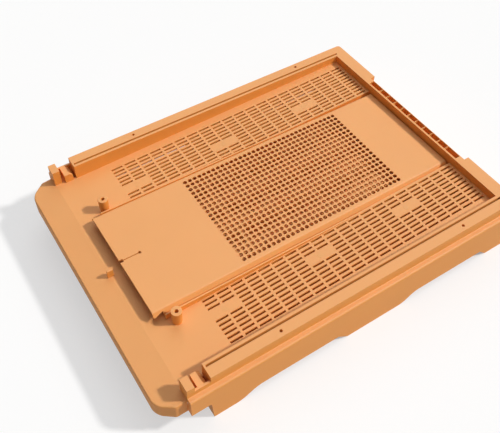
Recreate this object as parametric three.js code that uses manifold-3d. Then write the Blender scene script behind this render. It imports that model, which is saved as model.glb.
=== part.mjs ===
// Ventilated bottom board for a ten-frame beehive, in millimetres, +Z up.
// The board stands on its feet at z = 0, centred on the origin. The entrance side faces -Y.
// A perforated panel lies in a channel along the middle of the floor and slides out to the front.
import * as THREE from "three";
import { mergeGeometries, mergeVertices } from "three/addons/utils/BufferGeometryUtils.js";
import Module from "manifold-3d";

const wasm = await Module();
wasm.setup();

// Driving dimensions of the hive that stands on the board
const hiveWidth = 413; // over the two rails
const railLength = 512; // from the rails' front ends to the back face
const railWidth = 21.6;
const railHeight = 24.5; // above the floor at the rails' front ends
const standHeight = 75; // from the ground to the floor at the rails' front ends
const wall = 3; // general moulding thickness
const overrun = 20; // how far a cutter reaches past what it cuts
const seatGap = 0.3; // between a piece and the sloping floor it stands on

// Rails
const innerWall = 3.9; // the rail's wall on the hive side of the slot
const slotWidth = 3.1;
const slotFrontMargin = 2.6;
const slotBackMargin = 17;
const railEdgeRadius = 1.2;
const hiveCornerRadius = 5; // of the back corners, seen from above
const screwHoleRadius = 2.2;
const screwBossRadius = 4.2;
const screwBossDepth = 10;
const screwHoleFromOutside = 7.3;
const screwHoleFromFront = 105.2;
const screwHoleFromBack = 99.2;

// Back wall with a row of open cells in its middle
const backWallThickness = 21;
const cellWallInner = 3.3;
const cellWallOuter = 1;
const cellDepth = 16;
const cellWidthY = 8.4;
const cellRowHalf = 100.3; // half the length of the row of cells
const cellRibCount = 10;
const cellRibPitch = 16.9;
const cellRibThickness = 1;
const recessHalf = 109; // half the length of the thinned stretch of the back wall

// Floor: the two slotted side fields rise to the back, the channel between them falls
const floorRise = 12.5; // of the side fields, over the length of the well
const floorFrontDrop = 0.4; // floor below the datum at the rails' front ends
const channelHalf = 95.1; // to the inner faces of the guide ribs
const ribThickness = 2.5;
const ribHeightFront = 10.2; // top of a guide rib at its front end, above the datum
const ribFront = -1.5;
const channelFall = 3.7; // of the channel floor and the panel, over the length of the well

// Slots of the floor
const slotPitchX = 6.93;
const slotPitchY = 22;
const floorSlotWidth = 3;
const floorSlotLength = 18;
const firstSlotY = 59.5;
const slotBackClearance = 4; // from the last slots to the back wall
const fieldEdge = 11; // plain strip between a slotted field and its rail
const blankRows = [3, 4]; // rows of a side field, from its inner edge, that the blank pads take up
const blankColumns = [0, 1, 7, 8, 14, 15]; // columns that the blank pads take up
const channelSlotGroups = 2; // long slots in a row under the panel

// Landing board and front
const landingFront = -69.7;
const landingInset = 0.5; // the landing board's sides stand back from the rails' outer faces
const landingDrop = 4; // from the crease to the front edge
const landingCornerX = 16; // extent of the slanted corners
const landingCornerY = 21.4;
const landingFrontRound = 10; // reach of the rounding where a slanted corner meets the front
const landingSideRound = 1.5; // and where it meets the side
const apronBottom = -31;
const crease = -32.5; // where the landing board starts to slope, and the skirts' front ends

// Gate blocks at the front ends of the rails
const frontBlockInset = 3.5; // the front block stands back from the rail's inner face
const frontBlockDepth = 10.7;
const gateGrooveWidth = 4.8;
const rearBlockTop = 14;
const rearBlockBevel = 4.1;
const rearBlockGap = 4.6; // between the rear block and the rail

// Ledge, skirt and feet
const ledgeWidth = 8;
const ledgeTop = 5;
const ledgeRadius = 3;
const skirtArch = -59; // lower edge of the skirt between the feet
const footFront = -4.2;
const footToe = -0.8; // front edge of the front feet at the ground
const footReturn = 25; // length of the feet's front walls, across the board
const frontFootEnd = 41;
const frontFootCurveEnd = 65;
const midFootShift = 5; // of the middle foot, from halfway along the rails and the back ledge
const midFootLength = 100;
const midFootStep = 18; // slanted front edge
const midFootCurve = 19; // curved back edge
const backFootLength = 39;
const backFootStep = 17;
const backFootWidth = 150;
const backFootCurve = 20;
const footCurveSteps = 6;

// Posts and peg
const postRadius = 7.5;
const postFootRadius = 6.6;
const postHoleRadius = 2.6;
const postHoleDepth = 18;
const postRibGap = 1.9; // between a post and the guide rib beside it
const postY = 9.6;
const postSides = 32;
const pegWidth = 3.4;
const pegLength = 9;
const pegX = -0.2;
const pegFront = -37.5;
const pegClearance = 0.5; // under the panel as it slides out

// Sliding panel
const panelSheet = 2.5;
const panelTopFront = 15.3; // top of the panel at the rails' front ends, above the datum
const panelFront = -16;
const panelBackGap = 1.2;
const panelSideGap = 1.4;
const panelEdgeRun = 4.8; // of the slanted long edges, across the panel
const panelEdgeDrop = 6.6; // of the slanted long edges, below the panel's top
const panelLipSheet = 2.2;
const earHeight = 7.2; // of the front ears, from the panel's top
const earLength = 14;
const earRoot = 3.4; // height that is left above the ear's notch
const lipFront = 1.5;
const holePitchX = 8;
const holePitchY = 8.05;
const holeWidth = 5.2;
const holeColumns = 21;
const holesPerOpening = 5; // holes in a row that one long opening stands for
const holeBackMargin = 78; // plain stretch at the panel's back end
const firstHoleY = 128.4;
const slitX = -3.3;
const slitWidth = 2;
const slitEnd = 14;
const slitHoleRadius = 2;
const mouthWidth = 5;
const mouthDepth = 5;
const slitHoleSides = 16;

// Derived sizes
const railOuter = hiveWidth / 2;
const railInner = railOuter - railWidth;
const wellBack = railLength - backWallThickness;
const landingHalf = railOuter - landingInset;
const screwHoleY = [screwHoleFromFront, railLength - screwHoleFromBack];
const skirtOuter = railOuter + ledgeWidth;
const boardBack = railLength + ledgeWidth;
const midY = (boardBack + landingFront) / 2;
const ribOuter = channelHalf + ribThickness;
const cavityOuter = railOuter - wall;
const slotInnerX = railInner + innerWall;
const postX = ribOuter + postRibGap + postRadius;
const footBottom = -standHeight;
const midFootMiddle = boardBack / 2 + midFootShift;
const midFootStart = midFootMiddle - midFootLength / 2;
const midFootEnd = midFootMiddle + midFootLength / 2;
const backFootStart = boardBack - backFootLength;
const slotColumns = fitting(
  wellBack - slotBackClearance - floorSlotLength / 2 - firstSlotY,
  slotPitchY,
);
const channelRows = Math.floor(channelHalf / slotPitchX);
const fieldFirstRow = Math.ceil((ribOuter + floorSlotWidth / 2) / slotPitchX - 1 / 2);
const fieldSpan = railInner - fieldEdge - floorSlotWidth / 2 - (fieldFirstRow + 1 / 2) * slotPitchX;
const fieldRows = fitting(fieldSpan, slotPitchX);
const panelBack = wellBack - panelBackGap;
const openingGroups = Math.floor(
  (panelBack - holeBackMargin - firstHoleY) / (holesPerOpening * holePitchY),
);
const floorSlope = floorRise / wellBack;
const channelSlope = channelFall / wellBack;
const channelAngle = Math.atan(channelSlope);
const frontBlockBack = crease + frontBlockDepth;
const rearBlockFront = frontBlockBack + gateGrooveWidth;
const rearBlockBack = -rearBlockGap;
const blockBase = floorFrontAt(crease) - wall; // underside of the gate blocks' floor

const plastic = { roughness: 0.55, metalness: 0 };
const colours = { board: 0xe2a06a, panel: 0xe6a56c };

// How many places a pitch apart a span holds, both ends counted
function fitting(span, pitch) {
  return Math.floor(span / pitch) + 1;
}

// Height of the floor's top at a distance y from the rails' front ends
function sideFloorAt(y) {
  return y > 0 ? floorSlope * y - floorFrontDrop : floorFrontAt(y);
}

function floorFrontAt(y) {
  return y > crease
    ? floorSlope * y - floorFrontDrop
    : floorSlope * crease - floorFrontDrop + ((y - crease) * landingDrop) / (crease - landingFront);
}

function channelFloorAt(y) {
  return y > 0 ? -channelSlope * y - floorFrontDrop : floorFrontAt(y);
}

function panelTopAt(y) {
  return panelTopFront - channelSlope * y;
}

// A closed geometry as a solid that can be joined and cut
function solidOf(geometry) {
  const bare = geometry.clone();
  bare.deleteAttribute("normal");
  bare.deleteAttribute("uv");
  const merged = mergeVertices(bare, seatGap / 1000);
  return new wasm.Manifold(
    new wasm.Mesh({
      numProp: 3,
      vertProperties: merged.attributes.position.array,
      triVerts: new Uint32Array(merged.index.array),
    }),
  );
}

function shapeOf(points) {
  return new THREE.Shape(points.map(([u, v]) => new THREE.Vector2(u, v)));
}

function extruded(shape, depth, curveSegments = footCurveSteps) {
  return new THREE.ExtrudeGeometry(shape, { depth, bevelEnabled: false, curveSegments });
}

// An outline of [y, z] points drawn out along X
function alongX(points, x0, x1) {
  const turn = new THREE.Matrix4().makeBasis(
    new THREE.Vector3(0, 1, 0),
    new THREE.Vector3(0, 0, 1),
    new THREE.Vector3(1, 0, 0),
  );
  return solidOf(extruded(shapeOf(points), x1 - x0).applyMatrix4(turn).translate(x0, 0, 0));
}

// An outline of [x, z] points drawn out along Y
function alongY(points, y0, y1) {
  return solidOf(extruded(shapeOf(points), y1 - y0).rotateX(Math.PI / 2).translate(0, y1, 0));
}

// A shape in X and Y drawn out along Z
function alongZ(shape, z0, z1) {
  return solidOf(extruded(shape, z1 - z0).translate(0, 0, z0));
}

function boxGeometry([x0, x1], [y0, y1], [z0, z1]) {
  return new THREE.BoxGeometry(x1 - x0, y1 - y0, z1 - z0).translate(
    (x0 + x1) / 2,
    (y0 + y1) / 2,
    (z0 + z1) / 2,
  );
}

function box(x, y, z) {
  return solidOf(boxGeometry(x, y, z));
}

function cylinder(radius, x, y, [z0, z1], sides) {
  const round = new THREE.CylinderGeometry(radius, radius, z1 - z0, sides).rotateX(Math.PI / 2);
  return solidOf(round.translate(x, y, (z0 + z1) / 2));
}

function joined(...solids) {
  return solids.reduce((all, solid) => all.add(solid));
}

// side is 1 for the right half of the board and -1 for the left half
function mirrored(range, side) {
  return side > 0 ? range : [-range[1], -range[0]];
}

function mirroredPoints(points, side) {
  return points.map(([x, z]) => [side * x, z]);
}

function arc(cx, cz, radius, from, to, steps) {
  return Array.from({ length: steps + 1 }, (_, i) => {
    const angle = from + ((to - from) * i) / steps;
    return [cx + radius * Math.cos(angle), cz + radius * Math.sin(angle)];
  });
}

// An S-shaped stretch of outline between two points, level at both ends
function easedCurve([y0, z0], [y1, z1]) {
  return Array.from({ length: footCurveSteps + 1 }, (_, i) => {
    const share = i / footCurveSteps;
    const eased = share * share * (3 - 2 * share);
    return [y0 + (y1 - y0) * share, z0 + (z1 - z0) * eased];
  });
}

function meshOf(solid, name, colour) {
  const mesh = solid.getMesh();
  const geometry = new THREE.BufferGeometry();
  geometry.setAttribute("position", new THREE.BufferAttribute(mesh.vertProperties, 3));
  geometry.setIndex(new THREE.BufferAttribute(mesh.triVerts, 1));
  const flat = geometry.toNonIndexed();
  flat.computeVertexNormals();
  const part = new THREE.Mesh(flat, new THREE.MeshStandardMaterial({ color: colour, ...plastic }));
  part.name = name;
  return part;
}

// Slots of the side fields: each is a box through the floor, all cut at once
function fieldSlots(side) {
  const boxes = [];
  for (let row = 0; row < fieldRows; row++) {
    for (let column = 0; column < slotColumns; column++) {
      if (blankRows.includes(row) && blankColumns.includes(column)) continue;
      const x = side * (fieldFirstRow + row + 1 / 2) * slotPitchX;
      const y = firstSlotY + column * slotPitchY;
      boxes.push(
        boxGeometry(
          [x - floorSlotWidth / 2, x + floorSlotWidth / 2],
          [y - floorSlotLength / 2, y + floorSlotLength / 2],
          [-overrun, floorRise + overrun],
        ),
      );
    }
  }
  return solidOf(mergeGeometries(boxes));
}

function sideFloor(side) {
  const top = [crease, 0, wellBack].map((y) => [y, sideFloorAt(y)]);
  const bottom = [wellBack, 0, crease].map((y) => [y, sideFloorAt(y) - wall]);
  const slab = alongX([...top, ...bottom], ...mirrored([ribOuter, railInner], side));
  return slab.subtract(fieldSlots(side));
}

// Long slots under the panel, each in line with a row of the side fields' slots
function channelSlots() {
  const boxes = [];
  const firstColumn = (group) => Math.round((group * slotColumns) / channelSlotGroups);
  for (let row = -channelRows; row < channelRows; row++) {
    for (let group = 0; group < channelSlotGroups; group++) {
      const x = (row + 1 / 2) * slotPitchX;
      const y0 = firstSlotY + firstColumn(group) * slotPitchY - floorSlotLength / 2;
      const y1 = firstSlotY + (firstColumn(group + 1) - 1) * slotPitchY + floorSlotLength / 2;
      boxes.push(
        boxGeometry(
          [x - floorSlotWidth / 2, x + floorSlotWidth / 2],
          [y0, y1],
          [-overrun, overrun],
        ),
      );
    }
  }
  return solidOf(mergeGeometries(boxes));
}

// Channel floor with its two guide ribs
function channel() {
  const top = [crease, 0, wellBack].map((y) => [y, channelFloorAt(y)]);
  const bottom = [wellBack, 0, crease].map((y) => [y, channelFloorAt(y) - wall]);
  const slab = alongX([...top, ...bottom], -ribOuter, ribOuter).subtract(channelSlots());
  const ribTopBack = Math.max(ribHeightFront - channelFall, sideFloorAt(wellBack));
  const meet = (ribHeightFront + floorFrontDrop) / (floorSlope + channelSlope);
  const ribOutline = [
    [ribFront, channelFloorAt(ribFront) - wall / 2],
    [0, channelFloorAt(0) - wall / 2],
    [wellBack, channelFloorAt(wellBack) - wall / 2],
    [wellBack, ribTopBack],
    [meet, sideFloorAt(meet)],
    [ribFront, ribHeightFront],
  ];
  const ribs = [1, -1].map((side) =>
    alongX(ribOutline, ...mirrored([channelHalf, ribOuter], side)),
  );
  return joined(slab, ...ribs);
}

// Plan of the landing board: a rectangle whose front corners are slanted and rounded
function landingPlan(inset, back) {
  const half = landingHalf - inset;
  const front = landingFront + inset;
  const tip = new THREE.Vector2(half - landingCornerX, front);
  const shoulder = new THREE.Vector2(half, front + landingCornerY);
  const slant = shoulder.clone().sub(tip).normalize();
  const a = slant.clone().multiplyScalar(landingFrontRound).add(tip);
  const b = shoulder.clone().sub(slant.multiplyScalar(landingSideRound));
  const shape = new THREE.Shape();
  shape.moveTo(-half, back);
  shape.lineTo(-half, shoulder.y + landingSideRound);
  shape.quadraticCurveTo(-half, shoulder.y, -b.x, b.y);
  shape.lineTo(-a.x, a.y);
  shape.quadraticCurveTo(-tip.x, front, -tip.x + landingFrontRound, front);
  shape.lineTo(tip.x - landingFrontRound, front);
  shape.quadraticCurveTo(tip.x, front, a.x, a.y);
  shape.lineTo(b.x, b.y);
  shape.quadraticCurveTo(half, shoulder.y, half, shoulder.y + landingSideRound);
  shape.lineTo(half, back);
  return shape;
}

function landingBoard() {
  const filled = (inset, back, base) => {
    const top = [landingFront, crease].map((y) => [y, floorFrontAt(y) - inset]);
    const below = [back, landingFront].map((y) => [y, base]);
    const profile = back > crease ? [...top, [back, top[1][1]], ...below] : [...top, ...below];
    return alongZ(landingPlan(inset, back), base, 0).intersect(
      alongX(profile, -landingHalf, landingHalf),
    );
  };
  return filled(0, crease, apronBottom).subtract(
    filled(wall, crease + overrun, apronBottom - overrun),
  );
}

// Rail: an upside-down channel with a long slot in its top and bosses under its screw holes
function rail(side) {
  const top = railHeight;
  const r = railEdgeRadius;
  const section = [
    [railInner, floorFrontAt(0) - wall],
    [railInner, top - r],
    ...arc(railInner + r, top - r, r, Math.PI, Math.PI / 2, 2),
    ...arc(railOuter - r, top - r, r, Math.PI / 2, 0, 2),
    [railOuter, ledgeTop - wall],
    [cavityOuter, ledgeTop - wall],
    [cavityOuter, top - wall],
    [slotInnerX, top - wall],
    [slotInnerX, floorFrontAt(0) - wall],
  ];
  const capped = [
    [slotInnerX, floorFrontAt(0) - wall],
    [cavityOuter, floorFrontAt(0) - wall],
    [cavityOuter, top - wall],
    [slotInnerX, top - wall],
  ];
  const corner = new THREE.Shape();
  const c = hiveCornerRadius;
  corner.moveTo(side * (railInner - overrun), -overrun);
  corner.lineTo(side * railOuter, -overrun);
  corner.lineTo(side * railOuter, railLength - c);
  corner.quadraticCurveTo(side * railOuter, railLength, side * (railOuter - c), railLength);
  corner.lineTo(side * (railInner - overrun), railLength);
  const ends = joined(
    alongY(mirroredPoints(capped, side), 0, wall),
    alongY(mirroredPoints(capped, side), railLength - hiveCornerRadius, railLength),
  );
  let body = joined(alongY(mirroredPoints(section, side), 0, railLength), ends);
  body = body.intersect(alongZ(corner, -overrun, railHeight + overrun));
  const holeX = side * (railOuter - screwHoleFromOutside);
  for (const y of screwHoleY) {
    body = body.add(
      cylinder(screwBossRadius, holeX, y, [top - screwBossDepth, top - r], postSides / 2),
    );
  }
  for (const y of screwHoleY) {
    const range = [top - screwBossDepth - overrun, top + overrun];
    body = body.subtract(cylinder(screwHoleRadius, holeX, y, range, postSides / 2));
  }
  const slotX = mirrored([slotInnerX, slotInnerX + slotWidth], side);
  const slotY = [slotFrontMargin, railLength - slotBackMargin];
  return body.subtract(box(slotX, slotY, [top - cellDepth, top + overrun]));
}

// Back wall between the rails, thinned in the middle, where it holds a row of open cells
function backWall() {
  const top = railHeight;
  const r = railEdgeRadius;
  const base = channelFloorAt(wellBack) - wall;
  const section = [
    [wellBack, base],
    [railLength, base],
    [railLength, top - r],
    ...arc(railLength - r, top - r, r, 0, Math.PI / 2, 2),
    ...arc(wellBack + r, top - r, r, Math.PI / 2, Math.PI, 2),
  ];
  let body = alongX(section, -railInner, railInner);
  const cellFront = wellBack + cellWallInner;
  const cellBack = cellFront + cellWidthY;
  const thinBack = cellBack + cellWallOuter;
  body = body.subtract(
    box([-recessHalf, recessHalf], [thinBack, railLength + overrun], [ledgeTop, top + overrun]),
  );
  const hollowY = [wellBack + wall, railLength - wall];
  for (const side of [1, -1]) {
    const x = mirrored([recessHalf + wall, railInner - wall], side);
    body = body.subtract(box(x, hollowY, [base - overrun, top - wall]));
  }
  body = body.subtract(
    box([-recessHalf, recessHalf], [cellFront, railLength - wall], [base - overrun, ledgeTop - wall]),
  );
  const ribs = Array.from({ length: cellRibCount }, (_, i) =>
    (i - (cellRibCount - 1) / 2) * cellRibPitch,
  );
  const edges = [-cellRowHalf, ...ribs.flatMap((x) => [x, x]), cellRowHalf];
  const half = cellRibThickness / 2;
  const cells = [];
  for (let i = 0; i < edges.length; i += 2) {
    const x0 = i === 0 ? edges[i] : edges[i] + half;
    const x1 = i === edges.length - 2 ? edges[i + 1] : edges[i + 1] - half;
    cells.push(boxGeometry([x0, x1], [cellFront, cellBack], [top - cellDepth, top + overrun]));
  }
  return body.subtract(solidOf(mergeGeometries(cells)));
}

// Side skirt: a rounded ledge, a wall down to three feet, and its closed front end
function sideSkirt(side) {
  const r = ledgeRadius;
  const ledgeUnder = ledgeTop - wall;
  const section = [
    [railOuter, ledgeUnder],
    [skirtOuter - wall, ledgeUnder],
    [skirtOuter - wall, apronBottom],
    [skirtOuter, apronBottom],
    ...arc(skirtOuter - r, ledgeTop - r, r, 0, Math.PI / 2, footCurveSteps / 2),
    [railOuter, ledgeTop],
  ];
  const feet = [
    [footFront, ledgeUnder],
    [footFront, apronBottom],
    [footToe, footBottom],
    ...easedCurve([frontFootEnd, footBottom], [frontFootCurveEnd, skirtArch]),
    [midFootStart - midFootStep, skirtArch],
    [midFootStart, footBottom],
    ...easedCurve([midFootEnd, footBottom], [midFootEnd + midFootCurve, skirtArch]),
    [backFootStart - backFootStep, skirtArch],
    [backFootStart, footBottom],
    [boardBack, footBottom],
    [boardBack, ledgeUnder],
  ];
  const frontWall = [
    [footFront, blockBase - seatGap],
    [footFront, apronBottom],
    [footToe, footBottom],
    [footToe + wall, footBottom],
    [footFront + wall, apronBottom],
    [footFront + wall, blockBase - seatGap],
  ];
  const wallX = mirrored([skirtOuter - wall, skirtOuter], side);
  const endX = mirrored([railOuter, skirtOuter - wall / 2], side);
  return joined(
    alongY(mirroredPoints(section, side), crease, boardBack),
    alongX(feet, ...wallX),
    box(endX, [crease, crease + wall], [apronBottom, ledgeTop - wall / 2]),
    alongX(frontWall, ...mirrored([skirtOuter - footReturn, skirtOuter - wall / 2], side)),
  );
}

// Back skirt: the ledge behind the back wall, and a wall with a foot at each end
function backSkirt() {
  const half = skirtOuter - wall;
  const ledge = [ledgeTop - wall, ledgeTop];
  const foot = half - backFootWidth;
  const outline = [
    [-half, ledge[0]],
    [-half, footBottom],
    ...easedCurve([-foot, footBottom], [-foot + backFootCurve, skirtArch]),
    ...easedCurve([foot - backFootCurve, skirtArch], [foot, footBottom]),
    [half, footBottom],
    [half, ledge[0]],
  ];
  return joined(
    box([-railOuter, railOuter], [railLength, boardBack], ledge),
    alongY(outline, boardBack - wall, boardBack),
  );
}

// Gate blocks: two upright blocks and a low outer strip hold the groove of an entrance gate
function gateBlocks(side) {
  const floorPiece = [
    [crease, blockBase],
    [0, blockBase],
    [0, floorFrontAt(0)],
    [crease, floorFrontAt(crease)],
  ];
  const rear = [
    [rearBlockFront, blockBase],
    [rearBlockFront, rearBlockTop],
    [rearBlockBack - rearBlockBevel, rearBlockTop],
    [rearBlockBack, rearBlockTop - rearBlockBevel],
    [rearBlockBack, blockBase],
  ];
  const frontX = mirrored([railInner + frontBlockInset, railOuter], side);
  const rearX = mirrored([railInner, railOuter], side);
  const stripX = mirrored([cavityOuter, railOuter], side);
  const openX = mirrored([slotInnerX, cavityOuter], side);
  const plate = alongX(floorPiece, ...rearX);
  return joined(
    plate.subtract(box(openX, [rearBlockBack, 0], [blockBase - overrun, overrun])),
    box(frontX, [crease, frontBlockBack], [blockBase, railHeight]),
    alongX(rear, ...rearX),
    box(stripX, [frontBlockBack, 0], [blockBase, rearBlockTop]),
  );
}

// Everything above the floor, a seat's gap clear of it
function aboveFloor() {
  return alongX(
    [
      [landingFront, floorFrontAt(landingFront) + seatGap],
      [crease, floorFrontAt(crease) + seatGap],
      [wellBack, sideFloorAt(wellBack) + seatGap],
      [wellBack, railHeight],
      [landingFront, railHeight],
    ],
    -railOuter,
    railOuter,
  );
}

function post(side) {
  const hole = [railHeight - postHoleDepth, railHeight + overrun];
  const height = railHeight + wall;
  const shaft = new THREE.CylinderGeometry(postRadius, postFootRadius, height, postSides);
  return solidOf(shaft.rotateX(Math.PI / 2).translate(side * postX, postY, height / 2 - wall))
    .subtract(cylinder(postHoleRadius, side * postX, postY, hole, postSides / 2))
    .intersect(aboveFloor());
}

function peg() {
  const top = panelTopAt(pegFront) - panelSheet - pegClearance;
  return box(
    [pegX - pegWidth / 2, pegX + pegWidth / 2],
    [pegFront, pegFront + pegLength],
    [-overrun, top],
  ).intersect(aboveFloor());
}

// Openings of the panel: each stands for a few round holes in a row
function panelOpenings() {
  const openings = [];
  const length = (holesPerOpening - 1) * holePitchY + holeWidth;
  for (let column = 0; column < holeColumns; column++) {
    for (let group = 0; group < openingGroups; group++) {
      const x = (column - (holeColumns - 1) / 2) * holePitchX;
      const y0 = firstHoleY - holeWidth / 2 + group * holesPerOpening * holePitchY;
      openings.push(
        boxGeometry([x - holeWidth / 2, x + holeWidth / 2], [y0, y0 + length], [-overrun, overrun]),
      );
    }
  }
  return solidOf(mergeGeometries(openings));
}

// The panel's section: flat top, slanted edges and upright lips, measured down from its top
function panelSection(depth) {
  const outer = channelHalf - panelSideGap;
  const flat = outer - panelEdgeRun;
  const right = [
    [flat, 0],
    [outer, -panelEdgeDrop],
    [outer, -depth],
    [outer - panelLipSheet, -depth],
    [outer - panelLipSheet, -panelEdgeDrop],
    [flat - panelLipSheet / 2, -panelSheet],
  ];
  const left = right.map(([x, z]) => [-x, z]).reverse();
  return [...right, ...left];
}

// Panel in its own frame: its top is at z = 0 and its front end at y = 0
function ventPanel() {
  const length = panelBack - panelFront;
  const depth = panelTopFront + floorFrontDrop - seatGap;
  const outer = channelHalf - panelSideGap;
  const lipStart = lipFront - panelFront;
  const notch = [
    [-overrun, -earHeight],
    [0, -earHeight],
    [earLength, -earRoot],
    [lipStart, -depth],
    [lipStart, -depth - overrun],
    [-overrun, -depth - overrun],
  ];
  let body = alongY(panelSection(depth), 0, length);
  body = body.subtract(alongX(notch, -outer - overrun, outer + overrun));
  const openings = panelOpenings().translate(0, -panelFront, 0);
  const slitLength = slitEnd - panelFront;
  const z = [-overrun, overrun];
  body = body.subtract(openings);
  body = body.subtract(box([slitX - slitWidth / 2, slitX + slitWidth / 2], [-overrun, slitLength], z));
  body = body.subtract(cylinder(slitHoleRadius, slitX, slitLength, z, slitHoleSides));
  return body.subtract(
    box([slitX - mouthWidth / 2, slitX + mouthWidth / 2], [-overrun, mouthDepth], z),
  );
}

// The whole board: deck lengths are measured from the rails' front ends and the floor there
const board = new THREE.Group();
const deck = new THREE.Group();
deck.position.set(0, -midY, standHeight);
board.add(deck);

const sides = [
  [1, "right"],
  [-1, "left"],
];
for (const [side, word] of sides) {
  deck.add(meshOf(sideFloor(side), `slotted_floor_${word}`, colours.board));
  deck.add(meshOf(rail(side), `rail_${word}`, colours.board));
  deck.add(meshOf(sideSkirt(side), `skirt_${word}`, colours.board));
  deck.add(meshOf(gateBlocks(side), `gate_block_${word}`, colours.board));
  deck.add(meshOf(post(side), `post_${word}`, colours.board));
}
deck.add(meshOf(channel(), "channel_floor", colours.board));
deck.add(meshOf(landingBoard(), "landing_board", colours.board));
deck.add(meshOf(backWall(), "back_wall", colours.board));
deck.add(meshOf(backSkirt(), "skirt_back", colours.board));
deck.add(meshOf(peg(), "stop_peg", colours.board));

const panel = new THREE.Group();
panel.position.set(0, panelFront, panelTopAt(panelFront));
panel.rotation.x = -channelAngle;
panel.add(meshOf(ventPanel(), "vent_panel", colours.panel));
deck.add(panel);

export default board;
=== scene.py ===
"""Looks of a ventilated bottom board for a ten-frame beehive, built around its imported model.

The board is two mouldings in peach-orange plastic: the base, with its slotted floor, hive rails,
landing board and footed skirt, and a perforated panel that slides in the floor's channel.
"""

from __future__ import annotations

import logging
import math
from collections.abc import Callable, Iterator
from contextlib import contextmanager
from dataclasses import dataclass
from enum import Enum

import bmesh
import bpy
from mathutils import Euler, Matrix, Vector

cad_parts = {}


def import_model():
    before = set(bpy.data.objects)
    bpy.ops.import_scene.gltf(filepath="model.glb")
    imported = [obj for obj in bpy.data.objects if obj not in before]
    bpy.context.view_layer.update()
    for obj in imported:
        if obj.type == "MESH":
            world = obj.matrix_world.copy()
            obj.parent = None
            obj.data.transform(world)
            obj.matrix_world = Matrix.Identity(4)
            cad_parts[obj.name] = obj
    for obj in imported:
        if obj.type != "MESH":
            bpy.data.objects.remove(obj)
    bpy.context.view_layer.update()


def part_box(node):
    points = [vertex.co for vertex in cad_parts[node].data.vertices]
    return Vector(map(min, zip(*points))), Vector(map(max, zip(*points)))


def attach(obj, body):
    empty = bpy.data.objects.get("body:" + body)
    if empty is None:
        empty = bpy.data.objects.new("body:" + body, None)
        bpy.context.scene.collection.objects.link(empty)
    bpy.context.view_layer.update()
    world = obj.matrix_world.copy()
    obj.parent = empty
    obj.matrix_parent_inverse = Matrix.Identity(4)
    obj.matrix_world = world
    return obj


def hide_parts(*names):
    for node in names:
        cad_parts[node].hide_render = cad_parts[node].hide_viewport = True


LOG = logging.getLogger("bottom_board")

FaceTest = Callable[[Vector, Vector], bool]

OVERRUN = 0.02  # how far a cutter reaches past what it cuts
TINY = 0.0002  # slack when faces and edges are found by their place
ALONG = 0.9  # share of a direction along an axis from which it counts as running that way
ACROSS = 0.1  # share below which it counts as running across the axis
LEVEL = 0.5  # share of a direction along Z below which an edge counts as lying
SHARP = 1.0  # radians between two faces from which their edge counts as sharp


class Body(Enum):
    """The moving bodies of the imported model."""

    BASE = "base"
    PANEL = "panel"


class Side(Enum):
    """The two halves of the board, as seen by someone who looks in at the entrance."""

    RIGHT = 1
    LEFT = -1

    @property
    def word(self) -> str:
        """The side's word in node names."""
        return self.name.lower()

    def span(self, inner: float, outer: float) -> tuple[float, float]:
        """Two distances from the board's middle as places on this side, the lower one first."""
        return tuple(sorted((self.value * inner, self.value * outer)))


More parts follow.
